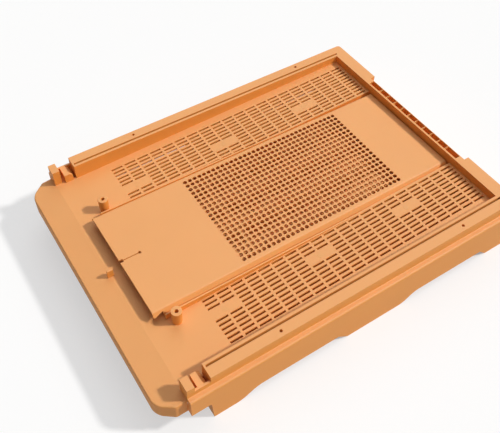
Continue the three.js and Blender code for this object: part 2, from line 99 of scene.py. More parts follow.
class Bench:
    """Hand tools for meshes: each works on one object and leaves everything else alone."""

    @staticmethod
    def take(obj: bpy.types.Object) -> bpy.types.Object:
        """Makes obj the only selected object and the active one."""
        bpy.ops.object.select_all(action="DESELECT")
        obj.select_set(True)
        bpy.context.view_layer.objects.active = obj
        return obj

    @staticmethod
    @contextmanager
    def editing(obj: bpy.types.Object, mode: str = "FACE") -> Iterator[None]:
        """Edit mode on obj with nothing selected.

        Args:
            obj: The mesh object to edit.
            mode: VERT, EDGE or FACE.
        """
        Bench.take(obj)
        bpy.ops.object.mode_set(mode="EDIT")
        bpy.ops.mesh.select_mode(type=mode)
        bpy.ops.mesh.select_all(action="DESELECT")
        try:
            yield
        finally:
            bpy.ops.object.mode_set(mode="OBJECT")

    @staticmethod
    def pick(obj: bpy.types.Object, kind: str, test: FaceTest) -> int:
        """Selects faces, edges or vertices in edit mode.

        Args:
            obj: The mesh object, in edit mode.
            kind: "faces", "edges" or "verts".
            test: Gets a face's centre and normal, an edge's middle and direction, or a vertex's
                place and normal, and says whether to select it.

        Returns:
            How many were selected.
        """
        mesh = bmesh.from_edit_mesh(obj.data)
        found = 0
        for part in getattr(mesh, kind):
            if kind == "faces":
                place, way = part.calc_center_median(), part.normal
            elif kind == "edges":
                ends = [v.co for v in part.verts]
                place, way = (ends[0] + ends[1]) / 2, (ends[1] - ends[0]).normalized()
            else:
                place, way = part.co, part.normal
            if test(place, way):
                part.select_set(True)
                found += 1
        mesh.select_flush_mode()
        bmesh.update_edit_mesh(obj.data)
        if not found:
            LOG.warning("%s: no %s picked", obj.name, kind)
        return found

    @staticmethod
    def settle(obj: bpy.types.Object, name: str) -> bpy.types.Object:
        """Names a new primitive and moves its place into its mesh."""
        obj.name = name
        obj.data.name = name
        Bench.take(obj)
        bpy.ops.object.transform_apply(location=True, rotation=True, scale=True)
        return obj

    @staticmethod
    def block(name: str, low: Vector, high: Vector) -> bpy.types.Object:
        """A cube primitive that fills the box between two corners."""
        bpy.ops.object.select_all(action="DESELECT")
        bpy.ops.mesh.primitive_cube_add(size=1, location=(low + high) / 2, scale=high - low)
        return Bench.settle(bpy.context.object, name)

    @staticmethod
    def rod(name: str, foot: Vector, radius: float, height: float, sides: int) -> bpy.types.Object:
        """An upright cylinder primitive that stands on foot."""
        bpy.ops.object.select_all(action="DESELECT")
        middle = foot + Vector((0, 0, height / 2))
        bpy.ops.mesh.primitive_cylinder_add(
            vertices=sides, radius=radius, depth=height, location=middle
        )
        return Bench.settle(bpy.context.object, name)

    @staticmethod
    def apply(obj: bpy.types.Object, kind: str, **settings: object) -> None:
        """Adds a modifier of that kind with those settings, and applies it."""
        Bench.take(obj)
        modifier = obj.modifiers.new(kind.title(), kind)
        for key, value in settings.items():
            setattr(modifier, key, value)
        bpy.ops.object.modifier_apply(modifier=modifier.name)

    @staticmethod
    def combine(obj: bpy.types.Object, others: list[bpy.types.Object], how: str) -> None:
        """Joins other solids to obj, or cuts them out of it, and uses them up.

        Args:
            obj: The solid that stays.
            others: The solids that are joined to it or cut out of it.
            how: UNION or DIFFERENCE.
        """
        for other in others:
            Bench.apply(obj, "BOOLEAN", operation=how, object=other, solver="EXACT")
            bpy.data.objects.remove(other)

    @staticmethod
    def carve(obj: bpy.types.Object, *cutters: bpy.types.Object) -> None:
        """Cuts the cutters out of obj."""
        Bench.combine(obj, list(cutters), "DIFFERENCE")

    @staticmethod
    def weld(obj: bpy.types.Object, *others: bpy.types.Object) -> None:
        """Joins the others to obj as one solid."""
        Bench.combine(obj, list(others), "UNION")

    @staticmethod
    def gather(name: str, pieces: list[bpy.types.Object]) -> bpy.types.Object:
        """Puts separate meshes into one object."""
        Bench.take(pieces[0])
        for piece in pieces[1:]:
            piece.select_set(True)
        bpy.ops.object.join()
        pieces[0].name = name
        return pieces[0]

    @staticmethod
    def bevel_edges(obj: bpy.types.Object, width: float, steps: int, test: FaceTest) -> None:
        """Rounds the edges that pass the test."""
        with Bench.editing(obj, "EDGE"):
            if Bench.pick(obj, "edges", test):
                bpy.ops.mesh.bevel(offset=width, segments=steps, affect="EDGES")

    @staticmethod
    def soften(obj: bpy.types.Object, width: float, steps: int = 2, degrees: float = 40) -> None:
        """Rounds every edge that is sharper than an angle."""
        Bench.apply(
            obj,
            "BEVEL",
            width=width,
            segments=steps,
            limit_method="ANGLE",
            angle_limit=math.radians(degrees),
            use_clamp_overlap=True,
        )

    @staticmethod
    def slice_at(obj: bpy.types.Object, place: Vector, normal: Vector) -> None:
        """Adds a line of edges where a plane crosses the mesh."""
        with Bench.editing(obj):
            bpy.ops.mesh.select_all(action="SELECT")
            bpy.ops.mesh.bisect(plane_co=place, plane_no=normal)

    @staticmethod
    def move(obj: bpy.types.Object, kind: str, by: Vector, test: FaceTest) -> None:
        """Moves the parts of a mesh that pass the test."""
        with Bench.editing(obj, {"faces": "FACE", "edges": "EDGE", "verts": "VERT"}[kind]):
            if Bench.pick(obj, kind, test):
                bpy.ops.transform.translate(value=by)

    @staticmethod
    def extrude(obj: bpy.types.Object, kind: str, by: Vector, test: FaceTest) -> None:
        """Extrudes the faces or edges that pass the test."""
        with Bench.editing(obj, {"faces": "FACE", "edges": "EDGE"}[kind]):
            if Bench.pick(obj, kind, test):
                bpy.ops.mesh.extrude_region_move(TRANSFORM_OT_translate={"value": by})

    @staticmethod
    def drop_faces(obj: bpy.types.Object, test: FaceTest) -> None:
        """Deletes the faces that pass the test."""
        with Bench.editing(obj):
            if Bench.pick(obj, "faces", test):
                bpy.ops.mesh.delete(type="FACE")

    @staticmethod
    def face_out(obj: bpy.types.Object) -> None:
        """Turns every face of a closed solid outwards."""
        with Bench.editing(obj):
            bpy.ops.mesh.select_all(action="SELECT")
            bpy.ops.mesh.normals_make_consistent(inside=False)

    @staticmethod
    def face_up(obj: bpy.types.Object) -> None:
        """Turns an open sheet so that its faces look up and outwards."""
        Bench.face_out(obj)
        if sum(face.normal.z * face.area for face in obj.data.polygons) < 0:
            with Bench.editing(obj):
                bpy.ops.mesh.select_all(action="SELECT")
                bpy.ops.mesh.flip_normals()

    @staticmethod
    def repeat(obj: bpy.types.Object, count: int, step: Vector) -> None:
        """Repeats a mesh in a row and merges the copies where they meet."""
        Bench.apply(
            obj,
            "ARRAY",
            count=count,
            use_relative_offset=False,
            use_constant_offset=True,
            constant_offset_displace=step,
            use_merge_vertices=True,
            merge_threshold=TINY / 10,
        )

    @staticmethod
    def tilt(obj: bpy.types.Object, angle: float, about: Vector) -> None:
        """Turns a mesh about the X direction through a point, its +Y end upwards."""
        with Bench.editing(obj, "VERT"):
            bpy.ops.mesh.select_all(action="SELECT")
            bpy.ops.transform.rotate(value=-angle, orient_axis="X", center_override=about)

    @staticmethod
    def mirrored(obj: bpy.types.Object, name: str) -> bpy.types.Object:
        """A copy of obj on the other side of the board, with a mesh of its own."""
        copy = obj.copy()
        copy.data = obj.data.copy()
        bpy.context.scene.collection.objects.link(copy)
        copy.scale.x = -1
        Bench.settle(copy, name)
        Bench.face_out(copy)
        return copy


@dataclass(frozen=True)
class MouldedPlastic:
    """Through-coloured moulded plastic with a satin grain and a painted sheen that makes it paler
    where it looks up.
    """

    name: str
    slot: str
    colour: tuple[float, float, float]
    bloom: tuple[float, float, float]  # painted sheen: colour of the faces that look up, painted paler as if they reflected a white sky
    bloom_slopes: tuple[float, float] = (0.3, 0.9)  # upward normals at which the painted sheen starts and ends
    tone_spread: float = 0.02  # share by which the colour wanders over the moulding
    tone_scale: float = 9.0  # patches per metre
    tone_detail: float = 3.0
    tone_range: tuple[float, float] = (0.3, 0.7)  # noise values at its darkest and palest
    grain_scale: float = 900.0
    grain_detail: float = 2.0
    grain_strength: float = 0.12
    grain_depth: float = 0.00008
    roughness: float = 0.65
    roughness_spread: float = 0.06
    specular: float = 0.75
    glow: float = 0.08  # how much light wanders inside the plastic
    glow_depth: float = 0.0025
    glow_radius: tuple[float, float, float] = (1.0, 0.35, 0.12)

    @staticmethod
    def _noise(tree: bpy.types.NodeTree, scale: float, detail: float) -> bpy.types.NodeSocket:
        """The value of a noise on Object coordinates."""
        noise = tree.nodes.new("ShaderNodeTexNoise")
        noise.inputs["Scale"].default_value = scale
        noise.inputs["Detail"].default_value = detail
        place = tree.nodes.new("ShaderNodeTexCoord").outputs["Object"]
        tree.links.new(place, noise.inputs["Vector"])
        return noise.outputs["Fac"]

    def _hue(self, tree: bpy.types.NodeTree) -> bpy.types.NodeSocket:
        """The plastic's colour, with a painted sheen that turns it paler with the upward slope of
        the surface.
        """
        nodes, link = tree.nodes, tree.links.new
        way = nodes.new("ShaderNodeSeparateXYZ")
        link(nodes.new("ShaderNodeTexCoord").outputs["Normal"], way.inputs["Vector"])
        upward = nodes.new("ShaderNodeMapRange")
        upward.interpolation_type = "SMOOTHSTEP"
        upward.inputs["From Min"].default_value = self.bloom_slopes[0]
        upward.inputs["From Max"].default_value = self.bloom_slopes[1]
        link(way.outputs["Z"], upward.inputs["Value"])
        # Painted sheen: the paler colour is mixed in on the faces that look up.
        hue = nodes.new("ShaderNodeMixRGB")
        hue.inputs["Color1"].default_value = (*self.colour, 1.0)
        hue.inputs["Color2"].default_value = (*self.bloom, 1.0)
        link(upward.outputs["Result"], hue.inputs["Fac"])
        return hue.outputs["Color"]

    def material(self) -> bpy.types.Material:
        """Builds the plastic's node material.

        Returns:
            A new material that reads Object coordinates and the surface's normal.
        """
        made = bpy.data.materials.new(self.name)
        made.use_nodes = True
        tree = made.node_tree
        nodes, link = tree.nodes, tree.links.new
        shader = nodes["Principled BSDF"]
        shader.inputs["Specular IOR Level"].default_value = self.specular
        shader.inputs["Subsurface Weight"].default_value = self.glow
        shader.inputs["Subsurface Scale"].default_value = self.glow_depth
        shader.inputs["Subsurface Radius"].default_value = self.glow_radius

        tone = nodes.new("ShaderNodeMapRange")
        tone.inputs["From Min"].default_value = self.tone_range[0]
        tone.inputs["From Max"].default_value = self.tone_range[1]
        tone.inputs["To Min"].default_value = 1 - self.tone_spread
        tone.inputs["To Max"].default_value = 1 + self.tone_spread
        link(self._noise(tree, self.tone_scale, self.tone_detail), tone.inputs["Value"])
        shade = nodes.new("ShaderNodeVectorMath")
        shade.operation = "SCALE"
        link(self._hue(tree), shade.inputs["Vector"])
        link(tone.outputs["Result"], shade.inputs["Scale"])
        link(shade.outputs["Vector"], shader.inputs["Base Color"])

        grain = self._noise(tree, self.grain_scale, self.grain_detail)
        gloss = nodes.new("ShaderNodeMapRange")
        gloss.inputs["To Min"].default_value = self.roughness - self.roughness_spread
        gloss.inputs["To Max"].default_value = self.roughness + self.roughness_spread
        link(grain, gloss.inputs["Value"])
        link(gloss.outputs["Result"], shader.inputs["Roughness"])
        bump = nodes.new("ShaderNodeBump")
        bump.inputs["Strength"].default_value = self.grain_strength
        bump.inputs["Distance"].default_value = self.grain_depth
        link(grain, bump.inputs["Height"])
        link(bump.outputs["Normal"], shader.inputs["Normal"])
        return made


@dataclass(frozen=True)
class Deck:
    """Places that the pieces share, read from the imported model.

    Deck places are measured in metres from the middle of the rails' front ends, at the height of
    the floor there.
    """

    front: float  # the rails' front ends, in the row frame
    datum: float  # the floor's height at the rails' front ends, in the row frame
    rail_inner: float
    rail_outer: float
    rail_length: float
    rail_height: float
    well_back: float
    crease: float
    landing_front: float
    landing_half: float
    apron_bottom: float
    skirt_outer: float
    board_back: float
    ledge_top: float
    ground: float
    rib_outer: float
    panel_front: float
    panel_half: float
    panel_back: float
    wall: float = 0.003
    inner_wall: float = 0.0039  # the rails' wall on the hive side
    floor_drop: float = 0.0004
    floor_rise: float = 0.0125
    channel_fall: float = 0.0037

    @classmethod
    def from_frame(cls, rail_height: float = 0.0245) -> Deck:
        """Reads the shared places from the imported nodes' boxes."""
        rail_low, rail_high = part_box("rail_right")
        wall_low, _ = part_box("back_wall")
        landing_low, landing_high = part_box("landing_board")
        skirt_low, skirt_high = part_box("skirt_right")
        channel_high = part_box("channel_floor")[1]
        panel_low, panel_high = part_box("vent_panel")
        front, datum = rail_low.y, rail_high.z - rail_height
        return cls(
            front=front,
            datum=datum,
            rail_inner=rail_low.x,
            rail_outer=rail_high.x,
            rail_length=rail_high.y - front,
            rail_height=rail_height,
            well_back=wall_low.y - front,
            crease=landing_high.y - front,
            landing_front=landing_low.y - front,
            landing_half=landing_high.x,
            apron_bottom=landing_low.z - datum,
            skirt_outer=skirt_high.x,
            board_back=skirt_high.y - front,
            ledge_top=skirt_high.z - datum,
            ground=skirt_low.z - datum,
            rib_outer=channel_high.x,
            panel_front=panel_low.y - front,
            panel_half=panel_high.x,
            panel_back=panel_high.y - front,
        )

    def at(self, x: float, y: float, z: float) -> Vector:
        """A deck place in the row frame."""
        return Vector((x, self.front + y, self.datum + z))

    def block(
        self,
        name: str,
        x: tuple[float, float],
        y: tuple[float, float],
        z: tuple[float, float],
    ) -> bpy.types.Object:
        """A block between deck places."""
        return Bench.block(name, self.at(x[0], y[0], z[0]), self.at(x[1], y[1], z[1]))

    def upright_at(self, y: float) -> FaceTest:
        """A test for the upright edges at a deck place along the board."""
        place = self.front + y
        return lambda p, d: abs(d.z) > ALONG and abs(p.y - place) < TINY

    def top_behind(self, y: float, z: float) -> FaceTest:
        """A test for what lies at a height and behind a deck place."""
        place = self.at(0, y, z)
        return lambda p, d: abs(p.z - place.z) < TINY and p.y > place.y + TINY

    def line_at(self, y: float, z: float) -> FaceTest:
        """A test for what lies on the line across the board through a deck place."""
        place = self.at(0, y, z)
        return lambda p, d: abs(p.y - place.y) < TINY and abs(p.z - place.z) < TINY

    def buried_at(self, y: float) -> FaceTest:
        """A test for what lies below the ground at a deck place along the board."""
        place = self.at(0, y, self.ground)
        return lambda p, d: abs(p.y - place.y) < TINY and p.z < place.z

    @property
    def side_slope(self) -> float:
        """Rise of the side floors for each metre of length."""
        return self.floor_rise / self.well_back

    @property
    def channel_slope(self) -> float:
        """Fall of the channel floor and the panel for each metre of length."""
        return self.channel_fall / self.well_back

    @property
    def crease_height(self) -> float:
        """Height of the floor's top at the crease."""
        return self.side_slope * self.crease - self.floor_drop


class Dresser:
    """Gives finished pieces their material and body, and hides the nodes that they stand for."""

    def __init__(self) -> None:
        """Starts with no materials made."""
        self._made: dict[str, bpy.types.Material] = {}

    def dress(
        self,
        piece: bpy.types.Object,
        finish: MouldedPlastic,
        body: Body,
        nodes: list[str],
        smooth_degrees: float = 32,
    ) -> None:
        """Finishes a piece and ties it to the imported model.

        Args:
            piece: The finished mesh object.
            finish: What it is made of.
            body: The body that it moves with.
            nodes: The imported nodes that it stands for.
            smooth_degrees: Faces that meet at less than this angle shade as one surface.
        """
        if finish.name not in self._made:
            self._made[finish.name] = finish.material()
        piece.data.materials.clear()
        piece.data.materials.append(self._made[finish.name])
        Bench.take(piece)
        bpy.ops.object.shade_smooth_by_angle(angle=math.radians(smooth_degrees))
        Bench.apply(piece, "WEIGHTED_NORMAL", keep_sharp=True)
        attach(piece, body.value)
        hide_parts(*nodes)
        LOG.info("%s: %d faces for %s", piece.name, len(piece.data.polygons), ", ".join(nodes))


@dataclass(frozen=True)
class HiveFrame:
    """The two hollow rails and the back wall that carry the hive body."""

    deck: Deck
    slot_width: float = 0.0031
    slot_front_margin: float = 0.0026
    slot_back_margin: float = 0.017
    corner_radius: float = 0.005
    edge_radius: float = 0.0007
    hole_radius: float = 0.0022
    boss_radius: float = 0.0042
    boss_depth: float = 0.010
    hole_inset: float = 0.0073
    hole_from_front: float = 0.1052
    hole_from_back: float = 0.0992
    cell_inner_wall: float = 0.0033
    cell_outer_wall: float = 0.001
    cell_depth: float = 0.016
    cell_width: float = 0.0084
    cell_row_half: float = 0.1003
    cell_ribs: int = 10
    cell_pitch: float = 0.0169
    cell_rib: float = 0.001
    rim_radius: float = 0.00025
    recess_half: float = 0.109
    sides: int = 24

    def _rail(self, side: Side) -> bpy.types.Object:
        """One rail, hollow from below, with its slot and the bosses of its two small holes."""
        deck, wall = self.deck, self.deck.wall
        span = side.span(deck.rail_inner, deck.rail_outer)
        under = -deck.floor_drop - wall
        rail = deck.block("rail", span, (0, deck.rail_length), (under, deck.rail_height))
        corner = deck.at(side.value * deck.rail_outer, deck.rail_length, 0)
        Bench.bevel_edges(
            rail,
            self.corner_radius,
            4,
            lambda p, d: abs(d.z) > ALONG and (p - corner).xy.length < TINY,
        )
        inside = deck.rail_inner + deck.inner_wall
        Bench.carve(
            rail,
            deck.block(
                "hollow",
                side.span(inside, deck.rail_outer - wall),
                (wall, deck.rail_length - self.corner_radius),
                (under - OVERRUN, deck.rail_height - wall),
            ),
        )
        hole_x = side.value * (deck.rail_outer - self.hole_inset)
        top = deck.rail_height
        for y in (self.hole_from_front, deck.rail_length - self.hole_from_back):
            foot = deck.at(hole_x, y, top - self.boss_depth)
            boss = Bench.rod("boss", foot, self.boss_radius, self.boss_depth - wall / 2, self.sides)
            Bench.weld(rail, boss)
            foot = deck.at(hole_x, y, top - self.boss_depth - OVERRUN)
            Bench.carve(rail, Bench.rod("hole", foot, self.hole_radius, OVERRUN * 2, self.sides))
        slot = side.span(inside, inside + self.slot_width)
        ends = (self.slot_front_margin, deck.rail_length - self.slot_back_margin)
        Bench.carve(rail, deck.block("slot", slot, ends, (top - self.cell_depth, top + OVERRUN)))
        return rail

    def _back_wall(self) -> bpy.types.Object:
        """The back wall, hollow from below and thinned in the middle."""
        deck, wall = self.deck, self.deck.wall
        top, inner, back = deck.rail_height, deck.rail_inner, deck.rail_length
        base = -deck.floor_drop - deck.channel_fall - wall
        body = deck.block("back_wall", (-inner, inner), (deck.well_back, back), (base, top))
        cell_front = deck.well_back + self.cell_inner_wall
        cell_back = cell_front + self.cell_width
        thin_back = cell_back + self.cell_outer_wall
        half = self.recess_half
        cuts = [
            ((-half, half), (thin_back, back + OVERRUN), (deck.ledge_top, top + OVERRUN)),
            ((-half, half), (cell_front, back - wall), (base - OVERRUN, deck.ledge_top - wall)),
        ]
        for side in Side:
            span = side.span(half + wall, inner - wall)
            depth = (base - OVERRUN, top - wall)
            cuts.append((span, (deck.well_back + wall, back - wall), depth))
        Bench.carve(body, *(deck.block("cut", *cut) for cut in cuts))
        return body

    def _cut_cells(self, frame: bpy.types.Object) -> None:
        """Cuts the row of cells between the back wall's inner and outer walls."""
        deck, top, rib = self.deck, self.deck.rail_height, self.cell_rib / 2
        front = deck.well_back + self.cell_inner_wall
        back = front + self.cell_width
        depth = (top - self.cell_depth, top + OVERRUN)
        ribs = [(i - (self.cell_ribs - 1) / 2) * self.cell_pitch for i in range(self.cell_ribs)]
        edges = [-self.cell_row_half - rib, *ribs, self.cell_row_half + rib]
        for left, right in zip(edges, edges[1:]):
            Bench.carve(frame, deck.block("cell", (left + rib, right - rib), (front, back), depth))
        low, high = deck.at(0, front, top), deck.at(0, back, top)
        Bench.bevel_edges(
            frame,
            self.rim_radius,
            2,
            lambda p, d: abs(p.z - low.z) < TINY / 2
            and low.y - TINY < p.y < high.y + TINY
            and abs(p.x) < self.cell_row_half + TINY,
        )

    def build(self) -> bpy.types.Object:
        """Builds the rails and the back wall as one moulding.

        Returns:
            The finished mesh object.
        """
        frame = self._back_wall()
        Bench.weld(frame, self._rail(Side.RIGHT), self._rail(Side.LEFT))
        frame.name = "hive_frame"
        Bench.soften(frame, self.edge_radius)
        self._cut_cells(frame)
        Bench.face_out(frame)
        return frame


@dataclass(frozen=True)
class Skirt:
    """The stepped skirt round the base: a rounded ledge and a wall down to six feet."""

    deck: Deck
    ledge_radius: float = 0.003
    corner_radius: float = 0.006
    fillet: float = 0.0015
    fillet_corner: float = 0.005  # its inner radius round the back corners
    fillet_reach: float = 0.97  # share of its size that is hollowed
    fillet_profile: float = 0.12  # below 0.5 the cheek is hollow
    arch: float = -0.059
    foot_front: float = -0.0042
    foot_toe: float = -0.0008  # front edge of the front feet at the ground
    foot_return: float = 0.025  # length of their front walls
    front_foot_end: float = 0.041
    front_curve: float = 0.024
    mid_foot_shift: float = 0.005
    mid_foot_length: float = 0.1
    mid_foot_step: float = 0.018
    mid_foot_curve: float = 0.019
    back_foot_length: float = 0.039
    back_foot_step: float = 0.017
    back_foot_width: float = 0.15
    back_foot_curve: float = 0.02
    curve_round: float = 0.008
    edge_radius: float = 0.0005

    @property
    def _flare(self) -> float:
        """How much farther an arch cutter's slants run, down to its end below the ground."""
        rise = self.arch - self.deck.ground
        return (rise + OVERRUN) / rise

    def _arch_cutter(self, low: tuple[float, float], high: tuple[float, float]) -> bpy.types.Object:
        """A wedge-ended cutter across the board for a pair of side arches.

        Args:
            low: Where the arch starts and ends on the ground.
            high: Where it starts and ends at its top.
        """
        deck = self.deck
        reach = deck.skirt_outer + OVERRUN
        z = (deck.ground - OVERRUN, self.arch)
        cutter = deck.block("arch", (-reach, reach), (high[0], high[1]), z)
        for foot, top in zip(low, high):
            shift = Vector((0, (foot - top) * self._flare, 0))
            Bench.move(cutter, "verts", shift, deck.buried_at(top))
        return cutter

    def build(self) -> bpy.types.Object:
        """Builds the skirt as one shell.

        Returns:
            The finished mesh object.
        """
        deck, wall = self.deck, self.deck.wall
        outer, back = deck.skirt_outer, deck.board_back
        skirt = deck.block(
            "skirt", (-outer, outer), (deck.crease, back), (deck.ground, deck.ledge_top)
        )
        Bench.bevel_edges(skirt, self.corner_radius, 5, deck.upright_at(back))
        ledge_edges = deck.top_behind(deck.crease, deck.ledge_top)
        Bench.bevel_edges(skirt, self.ledge_radius, 4, ledge_edges)
        inner = outer - wall
        under = deck.ledge_top - wall
        rail = deck.rail_outer
        Bench.carve(
            skirt,
            deck.block(
                "hollow",
                (-inner, inner),
                (deck.crease + wall, back - wall),
                (deck.ground - OVERRUN, under),
            ),
            deck.block(
                "seat",
                (-rail, rail),
                (deck.crease - OVERRUN, deck.rail_length),
                (under - OVERRUN, deck.ledge_top + OVERRUN),
            ),
            deck.block(
                "mouth",
                (-rail, rail),
                (deck.crease - OVERRUN, deck.crease + OVERRUN),
                (deck.crease_height - wall, under + OVERRUN),
            ),
            deck.block(
                "throat",
                (-rail + wall, rail - wall),
                (deck.crease - OVERRUN, deck.crease + OVERRUN),
                (deck.ground - OVERRUN, deck.crease_height),
            ),
            self._heel_cutter(),
        )
        middle = back / 2 + self.mid_foot_shift
        mid_start = middle - self.mid_foot_length / 2
        mid_end = middle + self.mid_foot_length / 2
        back_start = back - self.back_foot_length
        Bench.carve(
            skirt,
            self._arch_cutter(
                (self.front_foot_end, mid_start),
                (self.front_foot_end + self.front_curve, mid_start - self.mid_foot_step),
            ),
            self._arch_cutter(
                (mid_end, back_start),
                (mid_end + self.mid_foot_curve, back_start - self.back_foot_step),
            ),
        )
        self._cut_back_arch(skirt)
        bends = [
            (self.front_foot_end, deck.ground),
            (self.front_foot_end + self.front_curve, self.arch),
            (mid_end, deck.ground),
            (mid_end + self.mid_foot_curve, self.arch),
        ]
        places = [deck.at(0, y, z).yz for y, z in bends]
        Bench.bevel_edges(
            skirt,
            self.curve_round,
            5,
            lambda p, d: abs(d.x) > ALONG and any((p.yz - q).length < TINY for q in places),
        )
        for side in Side:
            Bench.weld(skirt, self._foot_wall(side))
        Bench.soften(skirt, self.edge_radius)
        Bench.weld(skirt, self._fillet_ring())
        Bench.face_out(skirt)
        return skirt

    def _cut_back_arch(self, skirt: bpy.types.Object) -> None:
        """Cuts the arch between the two back feet."""
        deck = self.deck
        foot = deck.skirt_outer - deck.wall - self.back_foot_width
        top = foot - self.back_foot_curve
        y = (deck.board_back - OVERRUN, deck.board_back + OVERRUN)
        cutter = deck.block("arch", (-top, top), y, (deck.ground - OVERRUN, self.arch))
        low = deck.datum + deck.ground
        for side in Side:
            shift = Vector((side.value * self.back_foot_curve * self._flare, 0, 0))
            Bench.move(cutter, "verts", shift, lambda p, n: p.x * side.value > 0 and p.z < low)
        Bench.carve(skirt, cutter)

    def _heel_cutter(self) -> bpy.types.Object:
        """The space in front of the front feet, whose front edges slant back to the ground."""
        deck = self.deck
        reach = deck.skirt_outer + OVERRUN
        cutter = deck.block(
            "heel",
            (-reach, reach),
            (deck.crease - OVERRUN, self.foot_front),
            (deck.ground - OVERRUN, deck.apron_bottom),
        )
        flare = 1 + OVERRUN / (deck.apron_bottom - deck.ground)
        shift = Vector((0, (self.foot_toe - self.foot_front) * flare, 0))
        Bench.move(cutter, "verts", shift, deck.buried_at(self.foot_front))
        return cutter

    def _foot_wall(self, side: Side) -> bpy.types.Object:
        """The front wall of a front foot, which turns in from the side wall."""
        deck, wall = self.deck, self.deck.wall
        web = deck.block(
            "foot_wall",
            side.span(deck.skirt_outer - self.foot_return, deck.skirt_outer - wall / 2),
            (self.foot_front, self.foot_front + wall),
            (deck.ground, deck.crease_height - wall),
        )
        line = deck.at(0, 0, deck.apron_bottom)
        Bench.slice_at(web, line, Vector((0, 0, 1)))
        shift = Vector((0, self.foot_toe - self.foot_front, 0))
        Bench.move(web, "verts", shift, lambda p, n: p.z < line.z - TINY)
        return web

    def _fillet_ring(self) -> bpy.types.Object:
        """The hollow-cheeked strip between the ledge and the walls that stand on it."""
        deck, size = self.deck, self.fillet
        rail, back = deck.rail_outer, deck.rail_length
        reach = size * self.fillet_reach
        low, high = deck.ledge_top - deck.wall / 2, deck.ledge_top + reach
        ring = deck.block(
            "fillet", (-rail - size, rail + size), (deck.crease, back + size), (low, high)
        )
        Bench.bevel_edges(ring, self.fillet_corner + size, 5, deck.upright_at(back + size))
        with Bench.editing(ring, "EDGE"):
            Bench.pick(ring, "edges", deck.top_behind(deck.crease, high))
            bpy.ops.mesh.bevel(
                offset=reach, segments=4, profile=self.fillet_profile, affect="EDGES"
            )
        core = deck.block(
            "core",
            (-rail, rail),
            (deck.crease - OVERRUN, back),
            (low - OVERRUN, high + OVERRUN),
        )
        Bench.bevel_edges(core, self.fillet_corner, 4, deck.upright_at(back))
        Bench.carve(ring, core)
        return ring


@dataclass(frozen=True)
class GateBlock:
    """The two blocks and the low strip that hold the groove of an entrance gate."""

    deck: Deck
    front_inset: float = 0.0035
    front_depth: float = 0.0107
    groove: float = 0.0048
    rear_top: float = 0.014
    rear_bevel: float = 0.0041
    rear_gap: float = 0.0046
    edge_radius: float = 0.0006

    def build(self) -> bpy.types.Object:
        """Builds the right-hand gate block.

        Returns:
            The finished mesh object.
        """
        deck, wall = self.deck, self.deck.wall
        base = deck.crease_height - wall
        front_back = deck.crease + self.front_depth
        rear_front = front_back + self.groove
        plate_x = (deck.rail_inner, deck.rail_outer)
        body = deck.block("gate_block_right_body", plate_x, (deck.crease, 0), (base, 0))
        for y, z in ((deck.crease, deck.crease_height), (0.0, -deck.floor_drop)):
            Bench.move(body, "verts", Vector((0, 0, z)), deck.line_at(y, 0))
        rear = deck.block("rear", plate_x, (rear_front, -self.rear_gap), (base, self.rear_top))
        rear_edge = deck.line_at(-self.rear_gap, self.rear_top)
        Bench.bevel_edges(rear, self.rear_bevel, 1, rear_edge)
        front_x = (deck.rail_inner + self.front_inset, deck.rail_outer)
        strip_x = (deck.rail_outer - wall, deck.rail_outer)
        Bench.weld(
            body,
            deck.block("front", front_x, (deck.crease, front_back), (base, deck.rail_height)),
            rear,
            deck.block("strip", strip_x, (front_back - wall / 2, 0), (base, self.rear_top)),
        )
        slot_x = (deck.rail_inner + deck.inner_wall, deck.rail_outer - wall)
        low = (base - OVERRUN, OVERRUN)
        Bench.carve(body, deck.block("slot", slot_x, (-self.rear_gap, OVERRUN), low))
        Bench.soften(body, self.edge_radius)
        Bench.face_out(body)
        return body


@dataclass(frozen=True)
class LandingBoard:
    """The sloping board in front of the entrance, hollow from below."""

    deck: Deck
    slope_drop: float = 0.004
    corner_x: float = 0.016
    corner_y: float = 0.0214
    front_round: float = 0.01
    side_round: float = 0.0015
    edge_radius: float = 0.002

    def build(self) -> bpy.types.Object:
        """Builds the landing board as a shell.

        Returns:
            The finished mesh object.
        """
        deck = self.deck
        half, top = deck.landing_half, deck.crease_height
        board = deck.block(
            "landing_board_top",
            (-half, half),
            (deck.landing_front, deck.crease),
            (deck.apron_bottom, top),
        )
        front_y, top_z = deck.at(0, deck.landing_front, 0).y, deck.at(0, 0, top).z
        front_top = deck.line_at(deck.landing_front, top)
        Bench.move(board, "verts", Vector((0, 0, -self.slope_drop)), front_top)
        front_corners = deck.upright_at(deck.landing_front)
        Bench.bevel_edges(board, self.corner_x, 1, front_corners)
        shoulder = deck.at(0, deck.landing_front + self.corner_x, 0).y
        longer = self.corner_y - self.corner_x
        for low in (True, False):
            rise = self.slope_drop * longer / (deck.crease - deck.landing_front)
            Bench.move(
                board,
                "verts",
                Vector((0, longer, 0 if low else rise)),
                lambda p, n: abs(p.y - shoulder) < TINY
                and (p.z < deck.at(0, 0, deck.apron_bottom).z + TINY) == low,
            )
        back_y = deck.at(0, deck.crease, 0).y
        Bench.bevel_edges(
            board,
            self.side_round,
            3,
            lambda p, d: abs(d.z) > ALONG and front_y + TINY < p.y < back_y - TINY,
        )
        Bench.bevel_edges(board, self.front_round, 7, front_corners)
        bottom_z = deck.at(0, 0, deck.apron_bottom).z
        Bench.drop_faces(
            board,
            lambda p, n: abs(p.z - bottom_z) < TINY or abs(p.y - back_y) < TINY,
        )
        Bench.apply(board, "SOLIDIFY", thickness=deck.wall, offset=-1, use_even_offset=True)
        Bench.face_out(board)
        slope = self.slope_drop / (back_y - front_y)
        Bench.bevel_edges(
            board,
            self.edge_radius,
            4,
            lambda p, d: abs(d.z) < LEVEL
            and p.y < back_y - TINY
            and abs(p.z - top_z + (back_y - p.y) * slope) < TINY / 2,
        )
        return board


